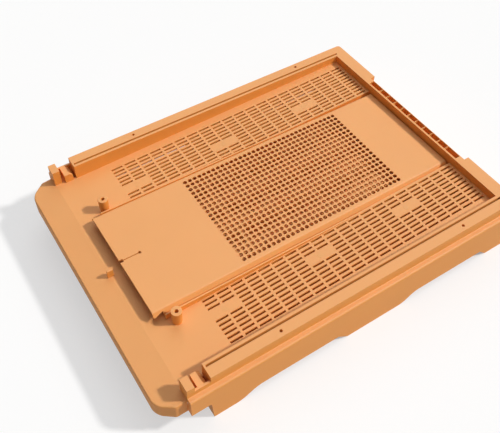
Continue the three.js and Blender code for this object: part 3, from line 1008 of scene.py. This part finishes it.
@dataclass(frozen=True)
class SlotGrid:
    """A sheet with rows of slots, drawn as one cell that is repeated."""

    deck: Deck
    pitch_x: float = 0.00693
    pitch_y: float = 0.022
    slot_width: float = 0.003
    slot_length: float = 0.018
    first_y: float = 0.0595
    columns: int = 20

    def sheet(
        self, name: str, first_row: int, rows: int, keep: Callable[[int, int], bool]
    ) -> bpy.types.Object:
        """A flat sheet at deck height zero with its slots cut.

        Args:
            name: The sheet's name.
            first_row: The first row's number, counted from the middle of the board.
            rows: How many rows it has.
            keep: Says for a row and a column of the sheet whether the slot is left out.
        """
        deck = self.deck
        bpy.ops.object.select_all(action="DESELECT")
        middle = deck.at((first_row + 0.5) * self.pitch_x, self.first_y, 0)
        bpy.ops.mesh.primitive_plane_add(size=1, location=middle, scale=(1, 1, 1))
        sheet = bpy.context.object
        sheet.scale = (self.pitch_x, self.pitch_y, 1)
        Bench.settle(sheet, name)
        for way in (-1, 1):
            across = middle + Vector((way * self.slot_width / 2, 0, 0))
            Bench.slice_at(sheet, across, Vector((1, 0, 0)))
            along = middle + Vector((0, way * self.slot_length / 2, 0))
            Bench.slice_at(sheet, along, Vector((0, 1, 0)))
        Bench.repeat(sheet, rows, Vector((self.pitch_x, 0, 0)))
        Bench.repeat(sheet, self.columns, Vector((0, self.pitch_y, 0)))

        def is_slot(place: Vector, _: Vector) -> bool:
            """Whether a face is the middle of a cell whose slot isn't left out."""
            row = (place.x - middle.x) / self.pitch_x
            column = (place.y - middle.y) / self.pitch_y
            centred = abs(row - round(row)) < 0.01 and abs(column - round(column)) < 0.01
            return centred and not keep(round(row), round(column))

        Bench.drop_faces(sheet, is_slot)
        return sheet

    def widen(
        self, sheet: bpy.types.Object, x: tuple[float, float], y: tuple[float, float]
    ) -> None:
        """Carries a sheet's outer edges out, or back, to a rectangle of deck places."""
        corners = [Vector(v.co) for v in sheet.data.vertices]
        for axis, targets in ((0, x), (1, [self.deck.front + value for value in y])):
            low = min(c[axis] for c in corners)
            high = max(c[axis] for c in corners)
            for edge, target in ((low, targets[0]), (high, targets[1])):
                by = Vector((0, 0, 0))
                by[axis] = target - edge
                shape = Bench.move if low < target < high else Bench.extrude
                shape(
                    sheet,
                    "edges",
                    by,
                    lambda p, d: abs(p[axis] - edge) < TINY / 2 and abs(d[axis]) < ACROSS,
                )


@dataclass(frozen=True)
class SideFloor:
    """One of the two slotted fields of the floor, which rise to the back."""

    deck: Deck
    grid: SlotGrid
    edge: float = 0.011
    blank_rows: tuple[int, ...] = (3, 4)
    blank_columns: tuple[int, ...] = (0, 1, 7, 8, 14, 15)
    mark_radius: float = 0.0042
    mark_height: float = 0.00012
    rim: float = 0.0003

    def _is_blank(self, row: int, column: int) -> bool:
        """Whether a place of the grid belongs to a blank pad."""
        return row in self.blank_rows and column in self.blank_columns

    def build(self) -> bpy.types.Object:
        """Builds the right-hand field.

        Returns:
            The finished mesh object.
        """
        deck, grid = self.deck, self.grid
        first = math.ceil((deck.rib_outer + grid.slot_width / 2) / grid.pitch_x - 0.5)
        last = deck.rail_inner - self.edge - grid.slot_width / 2
        rows = math.floor((last - (first + 0.5) * grid.pitch_x) / grid.pitch_x) + 1
        floor = grid.sheet("slotted_field_right", first, rows, self._is_blank)
        grid.widen(floor, (deck.rib_outer, deck.rail_inner), (deck.crease, deck.well_back))
        Bench.face_up(floor)
        Bench.apply(floor, "SOLIDIFY", thickness=deck.wall, offset=-1)
        top_z = deck.at(0, 0, 0).z
        low, high = deck.rib_outer + TINY, deck.rail_inner - TINY
        front, back = deck.at(0, deck.crease, 0).y + TINY, deck.at(0, deck.well_back, 0).y - TINY
        self._round_rims(floor, top_z, (low, high), (front, back))
        marks = self._marks(first)
        floor = Bench.gather("slotted_field_right", [floor, *marks])
        Bench.move(floor, "verts", Vector((0, 0, -deck.floor_drop)), lambda p, n: True)
        hinge = deck.at(0, 0, -deck.floor_drop)
        Bench.tilt(floor, math.atan(deck.side_slope), hinge)
        return floor

    def _round_rims(
        self,
        floor: bpy.types.Object,
        top_z: float,
        x: tuple[float, float],
        y: tuple[float, float],
    ) -> None:
        """Breaks the slots' upper edges."""
        with Bench.editing(floor, "EDGE"):
            mesh = bmesh.from_edit_mesh(floor.data)
            for edge in mesh.edges:
                place = (edge.verts[0].co + edge.verts[1].co) / 2
                inside = x[0] < place.x < x[1] and y[0] < place.y < y[1]
                sharp = edge.calc_face_angle(0.0) > SHARP
                edge.select_set(inside and sharp and abs(place.z - top_z) < TINY / 2)
            bmesh.update_edit_mesh(floor.data)
            bpy.ops.mesh.bevel(offset=self.rim, segments=1, affect="EDGES")

    def _marks(self, first_row: int) -> list[bpy.types.Object]:
        """The faint round marks on the blank pads, like those of a mould's ejector pins."""
        grid = self.grid
        x = (first_row + self.blank_rows[0] + 1) * grid.pitch_x
        marks = []
        for column in self.blank_columns[::2]:
            y = grid.first_y + (column + 0.5) * grid.pitch_y
            foot = self.deck.at(x, y, -self.mark_height)
            mark = Bench.rod("mark", foot, self.mark_radius, self.mark_height * 2, 24)
            marks.append(mark)
        return marks


@dataclass(frozen=True)
class Channel:
    """The channel floor under the panel, with its slots and the two guide ribs."""

    deck: Deck
    grid: SlotGrid
    rib: float = 0.0025
    rib_front: float = -0.0015
    rib_height: float = 0.0102
    rib_round: float = 0.0006

    def _rib(self, side: Side) -> bpy.types.Object:
        """One guide rib, whose top falls to meet the side floor as that rises."""
        deck = self.deck
        span = side.span(deck.rib_outer - self.rib, deck.rib_outer)
        meet = (self.rib_height + deck.floor_drop) / (deck.side_slope + deck.channel_slope)
        low = -deck.floor_drop - deck.wall / 2
        rib = deck.block("rib", span, (self.rib_front, deck.well_back), (low, self.rib_height))
        Bench.slice_at(rib, deck.at(0, meet, 0), Vector((0, 1, 0)))
        drops = {
            meet: deck.side_slope * meet - deck.floor_drop - self.rib_height,
            deck.well_back: deck.floor_rise - deck.floor_drop - self.rib_height,
        }
        for y, drop in drops.items():
            Bench.move(rib, "verts", Vector((0, 0, drop)), deck.line_at(y, self.rib_height))
        Bench.move(
            rib, "verts", Vector((0, 0, -deck.channel_fall)), deck.line_at(deck.well_back, low)
        )
        meet_y = deck.at(0, meet, 0).y
        Bench.bevel_edges(
            rib,
            self.rib_round,
            2,
            lambda p, d: p.z > deck.datum + TINY and p.y < meet_y - TINY and abs(d.z) < ALONG,
        )
        return rib

    def build(self) -> bpy.types.Object:
        """Builds the channel floor and its ribs.

        Returns:
            The finished mesh object.
        """
        deck, grid = self.deck, self.grid
        rows = math.floor((deck.rib_outer - self.rib) / grid.pitch_x)
        floor = grid.sheet("channel", -rows, 2 * rows, lambda row, column: False)
        grid.widen(floor, (-deck.rib_outer, deck.rib_outer), (deck.crease, deck.well_back))
        Bench.face_up(floor)
        Bench.apply(floor, "SOLIDIFY", thickness=deck.wall, offset=-1)
        Bench.move(floor, "verts", Vector((0, 0, -deck.floor_drop)), lambda p, n: True)
        self._bend(floor)
        return Bench.gather("channel", [floor, self._rib(Side.RIGHT), self._rib(Side.LEFT)])

    def _bend(self, floor: bpy.types.Object) -> None:
        """Lets the floor fall to the back, and to the crease in front of the rails."""
        deck = self.deck
        Bench.slice_at(floor, deck.at(0, 0, 0), Vector((0, 1, 0)))
        start = deck.front
        for way, slope in ((1, deck.channel_slope), (-1, -deck.side_slope)):
            with Bench.editing(floor, "VERT"):
                Bench.pick(floor, "verts", lambda p, n: (p.y - start) * way > TINY)
                bpy.ops.transform.rotate(
                    value=math.atan(slope),
                    orient_axis="X",
                    center_override=deck.at(0, 0, -deck.floor_drop),
                )


@dataclass(frozen=True)
class Post:
    """A round post with a blind hole, beside the channel's mouth."""

    deck: Deck
    radius: float = 0.0075
    foot_radius: float = 0.0066
    hole_radius: float = 0.0026
    hole_depth: float = 0.018
    rib_gap: float = 0.0019
    y: float = 0.0096
    sides: int = 48
    edge_radius: float = 0.0006

    def build(self) -> bpy.types.Object:
        """Builds the right-hand post.

        Returns:
            The finished mesh object.
        """
        deck = self.deck
        x = deck.rib_outer + self.rib_gap + self.radius
        height = deck.rail_height + deck.floor_drop
        post = Bench.rod(
            "post_right_body", deck.at(x, self.y, -deck.floor_drop), self.radius, height, self.sides
        )
        top = deck.at(0, 0, deck.rail_height).z
        with Bench.editing(post):
            Bench.pick(post, "faces", lambda p, n: n.z > ALONG)
            bpy.ops.mesh.inset(thickness=self.radius - self.hole_radius)
            bpy.ops.mesh.extrude_region_move(
                TRANSFORM_OT_translate={"value": (0, 0, -self.hole_depth)}
            )
        shrink = self.foot_radius / self.radius
        with Bench.editing(post, "VERT"):
            Bench.pick(post, "verts", lambda p, n: p.z < deck.at(0, 0, 0).z)
            bpy.ops.transform.resize(
                value=(shrink, shrink, 1), center_override=deck.at(x, self.y, -deck.floor_drop)
            )
        axis = deck.at(x, self.y, 0).xy
        Bench.bevel_edges(
            post,
            self.edge_radius,
            3,
            lambda p, d: abs(p.z - top) < TINY and abs(d.xy @ (p.xy - axis).normalized()) < 0.5,
        )
        Bench.face_out(post)
        return post


@dataclass(frozen=True)
class StopPeg:
    """The small tapered peg on the crease in front of the panel."""

    deck: Deck
    width: float = 0.0034
    length: float = 0.009
    x: float = -0.0002
    front: float = -0.0375
    top: float = 0.01258
    taper: float = 0.95
    edge_radius: float = 0.0006

    def build(self) -> bpy.types.Object:
        """Builds the peg.

        Returns:
            The finished mesh object.
        """
        deck = self.deck
        share = (deck.crease - self.front) / (deck.crease - deck.landing_front)
        foot = deck.crease_height - share * LandingBoard.slope_drop
        peg = deck.block(
            "peg",
            (self.x - self.width / 2, self.x + self.width / 2),
            (self.front, self.front + self.length),
            (foot, self.top),
        )
        top = deck.at(0, 0, self.top).z
        with Bench.editing(peg, "FACE"):
            Bench.pick(peg, "faces", lambda p, n: n.z > ALONG)
            middle = deck.at(self.x, self.front + self.length / 2, self.top)
            bpy.ops.transform.resize(value=(self.taper, self.taper, 1), center_override=middle)
        Bench.bevel_edges(
            peg, self.edge_radius, 3, lambda p, d: p.z > (top + deck.datum + foot) / 2
        )
        return peg


@dataclass(frozen=True)
class VentPanel:
    """The perforated cover of the channel, with slanted edges and down-turned lips."""

    deck: Deck
    top_front: float = 0.0153
    sheet: float = 0.0023
    edge_run: float = 0.0048
    edge_drop: float = 0.0066
    edge_round: float = 0.0016
    pitch_x: float = 0.008
    pitch_y: float = 0.00805
    hole_radius: float = 0.0031
    columns: int = 21
    rows: int = 35
    first_hole: float = 0.1284
    cell_divisions: int = 6
    rim_share: float = 0.45  # share of the pitch that takes in a hole's rim, not its cell's border
    rim: float = 0.00025
    lip_gap: float = 0.0003
    slit_x: float = -0.0033
    slit_width: float = 0.0012
    slit_margin: float = 0.004
    slit_end: float = 0.014
    slit_hole_radius: float = 0.002
    mouth_width: float = 0.005
    mouth_depth: float = 0.005
    ear_height: float = 0.0072
    ear_length: float = 0.014
    ear_root: float = 0.0034
    lip_front: float = 0.0015

    @property
    def half(self) -> float:
        """Half of the panel's width over its lips."""
        return self.deck.panel_half

    @property
    def depth(self) -> float:
        """Height of the panel's section, from its top to the lips' lower edges."""
        return self.top_front + self.deck.floor_drop - self.lip_gap

    def _cell(self) -> bpy.types.Object:
        """One cell of the hole field: a square with a round hole, at the world's origin."""
        bpy.ops.object.select_all(action="DESELECT")
        count = self.cell_divisions
        bpy.ops.mesh.primitive_grid_add(x_subdivisions=count, y_subdivisions=count, size=1)
        cell = Bench.settle(bpy.context.object, "panel")
        inner = (count - 2) / count / 2
        near = self.pitch_x * self.rim_share
        with Bench.editing(cell):
            Bench.pick(cell, "faces", lambda p, n: max(abs(p.x), abs(p.y)) < inner)
            bpy.ops.mesh.delete(type="FACE")
        with Bench.editing(cell, "VERT"):
            Bench.pick(cell, "verts", lambda p, n: max(abs(p.x), abs(p.y)) < inner + 0.01)
            bpy.ops.transform.tosphere(value=1.0)
        with Bench.editing(cell, "VERT"):
            bpy.ops.mesh.select_all(action="SELECT")
            bpy.ops.transform.resize(
                value=(self.pitch_x, self.pitch_y, 1), center_override=(0, 0, 0)
            )
        rim = [v.co for v in cell.data.vertices if max(abs(v.co.x), abs(v.co.y)) < near]
        scale = self.hole_radius / (sum(c.xy.length for c in rim) / len(rim))
        with Bench.editing(cell, "VERT"):
            Bench.pick(cell, "verts", lambda p, n: max(abs(p.x), abs(p.y)) < near)
            bpy.ops.transform.resize(value=(scale, scale, 1), center_override=(0, 0, 0))
        return cell

    def _section(self, panel: bpy.types.Object) -> None:
        """Carries the field's long edges out, down the slants and down the lips."""
        flat = self.half - self.edge_run
        bends = [
            (self.columns * self.pitch_x / 2, 0.0),
            (flat, 0.0),
            (self.half, -self.edge_drop),
            (self.half, -self.depth),
        ]
        for side in Side:
            way = side.value
            for (x, z), (next_x, next_z) in zip(bends, bends[1:]):
                Bench.extrude(
                    panel,
                    "edges",
                    Vector((way * (next_x - x), 0, next_z - z)),
                    lambda p, d: abs(p.x - way * x) < TINY
                    and abs(p.z - z) < TINY
                    and abs(d.y) > ALONG,
                )
            Bench.bevel_edges(
                panel,
                self.edge_round,
                4,
                lambda p, d: abs(p.x - way * flat) < TINY and abs(d.y) > ALONG,
            )

    def _ends(self, panel: bpy.types.Object, length: float) -> None:
        """Carries the field's short edges out to the panel's two ends."""
        first = self.first_hole - self.deck.panel_front - self.pitch_y / 2
        last = first + self.rows * self.pitch_y
        for edge, target in ((first, 0.0), (last, length)):
            Bench.extrude(
                panel,
                "edges",
                Vector((0, target - edge, 0)),
                lambda p, d: abs(p.y - edge) < TINY and abs(d.y) < ACROSS,
            )

    def _frame_slit(self, panel: bpy.types.Object) -> None:
        """Adds lines of edges round the slit's place, so that its cut stays among small faces."""
        end = self.slit_end - self.deck.panel_front + self.slit_hole_radius + self.slit_margin
        Bench.slice_at(panel, Vector((0, end, 0)), Vector((0, 1, 0)))
        for way in (-1, 1):
            reach = self.slit_hole_radius + self.slit_margin
            Bench.slice_at(panel, Vector((self.slit_x + way * reach, 0, 0)), Vector((1, 0, 0)))

    def _front_cutters(self) -> list[bpy.types.Object]:
        """Cutters for the slit, its round end, its mouth and the notch behind each ear."""
        reach = self.half + OVERRUN
        slit_length = self.slit_end - self.deck.panel_front
        z = (-self.sheet - OVERRUN / 10, OVERRUN)

        def box(
            x: tuple[float, float], y: tuple[float, float], z: tuple[float, float]
        ) -> bpy.types.Object:
            """A cutter between places on the unplaced panel."""
            return Bench.block("cut", Vector((x[0], y[0], z[0])), Vector((x[1], y[1], z[1])))

        slit = box(
            (self.slit_x - self.slit_width / 2, self.slit_x + self.slit_width / 2),
            (-OVERRUN, slit_length),
            z,
        )
        mouth = box(
            (self.slit_x - self.mouth_width / 2, self.slit_x + self.mouth_width / 2),
            (-OVERRUN, self.mouth_depth),
            z,
        )
        end = Bench.rod(
            "end", Vector((self.slit_x, slit_length, z[0])), self.slit_hole_radius, z[1] - z[0], 24
        )
        lip_start = self.lip_front - self.deck.panel_front
        notch = box(
            (-reach, reach), (-OVERRUN, lip_start), (-self.depth - OVERRUN, -self.ear_height)
        )
        tip = self.ear_length
        with Bench.editing(notch, "VERT"):
            Bench.pick(notch, "verts", lambda p, n: p.z > -self.depth and p.y > 0)
            bpy.ops.transform.translate(
                value=(0, tip - lip_start, self.ear_height - self.ear_root)
            )
        Bench.move(
            notch,
            "verts",
            Vector((0, OVERRUN, 0)),
            lambda p, n: p.z > -self.depth and p.y < -TINY,
        )
        return [slit, mouth, end, notch]

    def build(self) -> bpy.types.Object:
        """Builds the panel.

        Returns:
            The finished mesh object, in place in the channel.
        """
        deck = self.deck
        length = deck.panel_back - deck.panel_front
        panel = self._cell()
        x = -(self.columns - 1) / 2 * self.pitch_x
        y = self.first_hole - deck.panel_front
        Bench.move(panel, "verts", Vector((x, y, 0)), lambda p, n: True)
        Bench.repeat(panel, self.columns, Vector((self.pitch_x, 0, 0)))
        Bench.repeat(panel, self.rows, Vector((0, self.pitch_y, 0)))
        self._ends(panel, length)
        self._section(panel)
        self._frame_slit(panel)
        with Bench.editing(panel, "VERT"):
            bpy.ops.mesh.select_all(action="SELECT")
            bpy.ops.mesh.remove_doubles(threshold=TINY / 20)
        Bench.face_up(panel)
        Bench.apply(panel, "SOLIDIFY", thickness=self.sheet, offset=-1, use_even_offset=True)
        Bench.carve(panel, *self._front_cutters())
        self._round_rims(panel)
        top = deck.at(0, deck.panel_front, self.top_front - deck.channel_slope * deck.panel_front)
        Bench.move(panel, "verts", top, lambda p, n: True)
        Bench.tilt(panel, -math.atan(deck.channel_slope), top)
        return panel

    def _round_rims(self, panel: bpy.types.Object) -> None:
        """Breaks the upper edges of the holes, the slit and the panel's ends."""
        with Bench.editing(panel, "EDGE"):
            mesh = bmesh.from_edit_mesh(panel.data)
            for edge in mesh.edges:
                high = all(abs(v.co.z) < TINY / 10 for v in edge.verts)
                edge.select_set(high and edge.calc_face_angle(0.0) > SHARP)
            bmesh.update_edit_mesh(panel.data)
            bpy.ops.mesh.bevel(offset=self.rim, segments=1, affect="EDGES")


@dataclass(frozen=True)
class Studio:
    """Camera, lamps, sky and floor of the picture."""

    focal_px: float = 663.9
    centre_px: tuple[float, float] = (230.1, 208.4)
    frame_px: tuple[int, int] = (500, 433)
    sensor: float = 0.036
    camera_place: tuple[float, float, float] = (0.4951, -0.1617, 0.7543)
    camera_degrees: tuple[float, float, float] = (38.701, -0.444, 57.821)
    key_direction: tuple[float, float, float] = (-0.54, -0.87, -1.0)
    key_strength: float = 2.5
    key_softness: float = 5.0
    box_direction: tuple[float, float, float] = (-0.5, -0.15, -1.0)
    box_strength: float = 0.65
    box_softness: float = 80.0
    sheen_direction: tuple[float, float, float] = (0.5, -0.4, -0.8)
    sheen_strength: float = 0.85
    sheen_softness: float = 50.0
    warm: tuple[float, float, float] = (1.0, 0.985, 0.96)
    cool: tuple[float, float, float] = (0.97, 0.985, 1.0)
    sky_strength: float = 0.05
    floor_size: float = 30.0
    floor_bounce: float = 0.65  # how pale the floor is for the light that it throws back
    floor_lift: float = 0.55  # share of the floor that glows for the camera
    shelter_lift: float = 0.25  # the same share on the floor under the board
    shelter_fade: float = 0.006  # width of the border between the floor under and beside the board
    shelter_front: float = 0.035  # how far it stays behind the front end of the skirt
    shelter_right: float = 0.013  # how far the painted shade stays behind the arches of the right-hand side
    shelter_left: float = 0.006  # how far it reaches out under the arches of the far side
    # painted shade on the floor under the board, tinted orange as painted bounced light, and its
    # dim painted glow
    shelter_colour: tuple[float, float, float, float] = (0.42, 0.13, 0.035, 1.0)
    shelter_glow: tuple[float, float, float, float] = (0.3, 0.03, 0.002, 1.0)
    floor_colour: tuple[float, float, float, float] = (0.95, 0.95, 0.95, 1.0)

    def _camera(self, deck: Deck) -> None:
        """The camera at the photographed angle, with its small off-centre shift."""
        data = bpy.data.cameras.new("camera")
        width, height = self.frame_px
        data.sensor_width = self.sensor * 1000
        data.lens = self.focal_px / width * data.sensor_width
        data.shift_x = (width / 2 - self.centre_px[0]) / width
        data.shift_y = (self.centre_px[1] - height / 2) / width
        data.dof.use_dof = False
        camera = bpy.data.objects.new("camera", data)
        camera.location = deck.at(*self.camera_place)
        camera.rotation_euler = Euler([math.radians(a) for a in self.camera_degrees], "XYZ")
        bpy.context.scene.collection.objects.link(camera)
        bpy.context.scene.camera = camera

    def _lamp(
        self, name: str, direction: Vector, strength: float, softness: float, tint: Vector
    ) -> None:
        """A far lamp whose light comes from one side.

        Args:
            name: The lamp's name.
            direction: The way its light travels.
            strength: Its strength.
            softness: How many degrees wide it looks.
            tint: Its colour.
        """
        data = bpy.data.lights.new(name, "SUN")
        data.energy = strength
        data.angle = math.radians(softness)
        data.color = tint
        lamp = bpy.data.objects.new(name, data)
        lamp.rotation_euler = direction.to_track_quat("-Z", "Y").to_euler()
        bpy.context.scene.collection.objects.link(lamp)

    @staticmethod
    def _seen(tree: bpy.types.NodeTree) -> bpy.types.NodeSocket:
        """A value that is 1 where the camera, a reflection or a clear piece sees the surface."""
        nodes, link = tree.nodes, tree.links.new
        path = nodes.new("ShaderNodeLightPath")
        value = path.outputs["Is Camera Ray"]
        for ray in ("Is Glossy Ray", "Is Transmission Ray"):
            either = nodes.new("ShaderNodeMath")
            either.operation = "MAXIMUM"
            link(value, either.inputs[0])
            link(path.outputs[ray], either.inputs[1])
            value = either.outputs["Value"]
        return value

    def _sky(self) -> None:
        """An even sky, white where it is seen."""
        world = bpy.data.worlds.new("studio")
        bpy.context.scene.world = world
        world.use_nodes = True
        nodes, link = world.node_tree.nodes, world.node_tree.links.new
        strength = nodes.new("ShaderNodeMix")
        strength.inputs["A"].default_value = self.sky_strength
        strength.inputs["B"].default_value = 1.0
        link(self._seen(world.node_tree), strength.inputs["Factor"])
        link(strength.outputs["Result"], nodes["Background"].inputs["Strength"])
        nodes["Background"].inputs["Color"].default_value = (1, 1, 1, 1)

    def _floor(self, deck: Deck) -> None:
        """A wide pale floor that keeps the board's shadow."""
        bpy.ops.object.select_all(action="DESELECT")
        bpy.ops.mesh.primitive_plane_add(size=self.floor_size)
        floor = Bench.settle(bpy.context.object, "studio_floor")
        floor.data.materials.append(self._floor_finish(deck))

    def _sheltered(
        self, tree: bpy.types.NodeTree, deck: Deck, front_inset: float, right_inset: float
    ) -> bpy.types.NodeSocket:
        """A value that is 1 on the floor under the board and 0 beside it.

        Args:
            tree: The floor's node tree.
            deck: The deck whose outline shelters the floor.
            front_inset: How far the shelter stays behind the front end of the skirt.
            right_inset: How far it stays behind the arches of the right-hand side.

        Returns:
            The socket that gives the value.
        """
        nodes, link = tree.nodes, tree.links.new
        place = nodes.new("ShaderNodeSeparateXYZ")
        link(nodes.new("ShaderNodeTexCoord").outputs["Object"], place.inputs["Vector"])
        front, back = deck.at(0, deck.crease, 0).y, deck.at(0, deck.board_back, 0).y
        product = None
        left, right = -deck.skirt_outer - self.shelter_left, deck.skirt_outer - right_inset
        reach = (("X", left, right), ("Y", front + front_inset, back))
        for axis, low, high in reach:
            for edge, way in ((low, 1), (high, -1)):
                ramp = nodes.new("ShaderNodeMapRange")
                ramp.interpolation_type = "SMOOTHSTEP"
                ramp.inputs["From Min"].default_value = edge - way * self.shelter_fade / 2
                ramp.inputs["From Max"].default_value = edge + way * self.shelter_fade / 2
                link(place.outputs[axis], ramp.inputs["Value"])
                if product is None:
                    product = ramp.outputs["Result"]
                    continue
                both = nodes.new("ShaderNodeMath")
                both.operation = "MULTIPLY"
                link(product, both.inputs[0])
                link(ramp.outputs["Result"], both.inputs[1])
                product = both.outputs["Value"]
        return product

    def _floor_finish(self, deck: Deck) -> bpy.types.Material:
        """Matt white, with painted shade under the board: a dim orange colour and glow that stand
        in for its shadow and for light bounced from its plastic.

        Args:
            deck: The deck whose outline shelters the floor.

        Returns:
            A new material for the floor.
        """
        made = bpy.data.materials.new("studio_floor")
        made.use_nodes = True
        tree = made.node_tree
        nodes, link = tree.nodes, tree.links.new
        nodes.remove(nodes["Principled BSDF"])
        covered = self._sheltered(tree, deck, self.shelter_front, 0.0)
        sheltered = self._sheltered(tree, deck, self.shelter_front, self.shelter_right)
        seen = self._seen(tree)

        def mixed(fac: bpy.types.NodeSocket, first: object, second: object) -> bpy.types.NodeSocket:
            """The mix of two colours, each given as a socket or a value."""
            mix = nodes.new("ShaderNodeMixRGB")
            link(fac, mix.inputs["Fac"])
            for name, value in (("Color1", first), ("Color2", second)):
                if isinstance(value, bpy.types.NodeSocket):
                    link(value, mix.inputs[name])
                else:
                    mix.inputs[name].default_value = value
            return mix.outputs["Color"]

        bounce = (*[self.floor_bounce] * 3, 1.0)
        pale = mixed(seen, bounce, self.floor_colour)
        # Under the board (the sheltered mask): painted shade in the floor's colour, and a dim
        # orange painted glow in place of the white backdrop.
        matt = nodes.new("ShaderNodeBsdfDiffuse")
        link(mixed(sheltered, pale, self.shelter_colour), matt.inputs["Color"])
        backdrop = nodes.new("ShaderNodeEmission")
        link(mixed(sheltered, (1.0, 1.0, 1.0, 1.0), self.shelter_glow), backdrop.inputs["Color"])
        lift = nodes.new("ShaderNodeMapRange")
        lift.inputs["To Min"].default_value = self.floor_lift
        lift.inputs["To Max"].default_value = self.shelter_lift
        link(covered, lift.inputs["Value"])
        share = nodes.new("ShaderNodeMath")
        share.operation = "MULTIPLY"
        link(lift.outputs["Result"], share.inputs[1])
        link(seen, share.inputs[0])
        blend = nodes.new("ShaderNodeMixShader")
        link(share.outputs["Value"], blend.inputs["Fac"])
        link(matt.outputs["BSDF"], blend.inputs[1])
        link(backdrop.outputs["Emission"], blend.inputs[2])
        link(blend.outputs["Shader"], nodes["Material Output"].inputs["Surface"])
        return made

    def build(self, deck: Deck) -> None:
        """Sets up the picture.

        Args:
            deck: The deck that the camera's place is measured from.
        """
        bpy.context.scene.view_settings.view_transform = "Standard"
        self._camera(deck)
        lamps = {
            "key": (self.key_direction, self.key_strength, self.key_softness, self.warm),
            "box": (self.box_direction, self.box_strength, self.box_softness, self.cool),
            "sheen": (self.sheen_direction, self.sheen_strength, self.sheen_softness, self.cool),
        }
        for name, (direction, strength, softness, tint) in lamps.items():
            self._lamp(name, Vector(direction), strength, softness, Vector(tint))
        self._sky()
        self._floor(deck)


# Both plastics are painted paler on their faces that look up, as a painted sheen.
BASE_PLASTIC = MouldedPlastic(
    name="base_plastic",
    slot="board_plastic",
    colour=(0.8, 0.305, 0.045),
    bloom=(0.78, 0.348, 0.11),
)
PANEL_PLASTIC = MouldedPlastic(
    name="panel_plastic",
    slot="panel_plastic",
    colour=(0.805, 0.308, 0.047),
    bloom=(0.785, 0.35, 0.112),
)


def build_base(deck: Deck, dresser: Dresser) -> None:
    """Builds and dresses the pieces of the base moulding.

    Args:
        deck: The shared places.
        dresser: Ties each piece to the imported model.
    """
    grid = SlotGrid(deck)
    whole = {
        HiveFrame(deck): ["rail_right", "rail_left", "back_wall"],
        Skirt(deck): ["skirt_right", "skirt_left", "skirt_back"],
        LandingBoard(deck): ["landing_board"],
        Channel(deck, grid): ["channel_floor"],
        StopPeg(deck): ["stop_peg"],
    }
    for maker, nodes in whole.items():
        dresser.dress(maker.build(), BASE_PLASTIC, Body.BASE, nodes)
    paired = {
        SideFloor(deck, grid): "slotted_floor",
        GateBlock(deck): "gate_block",
        Post(deck): "post",
    }
    for maker, node in paired.items():
        right = maker.build()
        left = Bench.mirrored(right, right.name.replace("right", "left"))
        for side, piece in ((Side.RIGHT, right), (Side.LEFT, left)):
            dresser.dress(piece, BASE_PLASTIC, Body.BASE, [f"{node}_{side.word}"])


def main() -> None:
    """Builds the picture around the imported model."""
    logging.basicConfig(level=logging.INFO, format="%(message)s")
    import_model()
    deck = Deck.from_frame()
    Studio().build(deck)
    dresser = Dresser()
    build_base(deck, dresser)
    dresser.dress(VentPanel(deck).build(), PANEL_PLASTIC, Body.PANEL, ["vent_panel"])


if __name__ == "__main__":
    main()
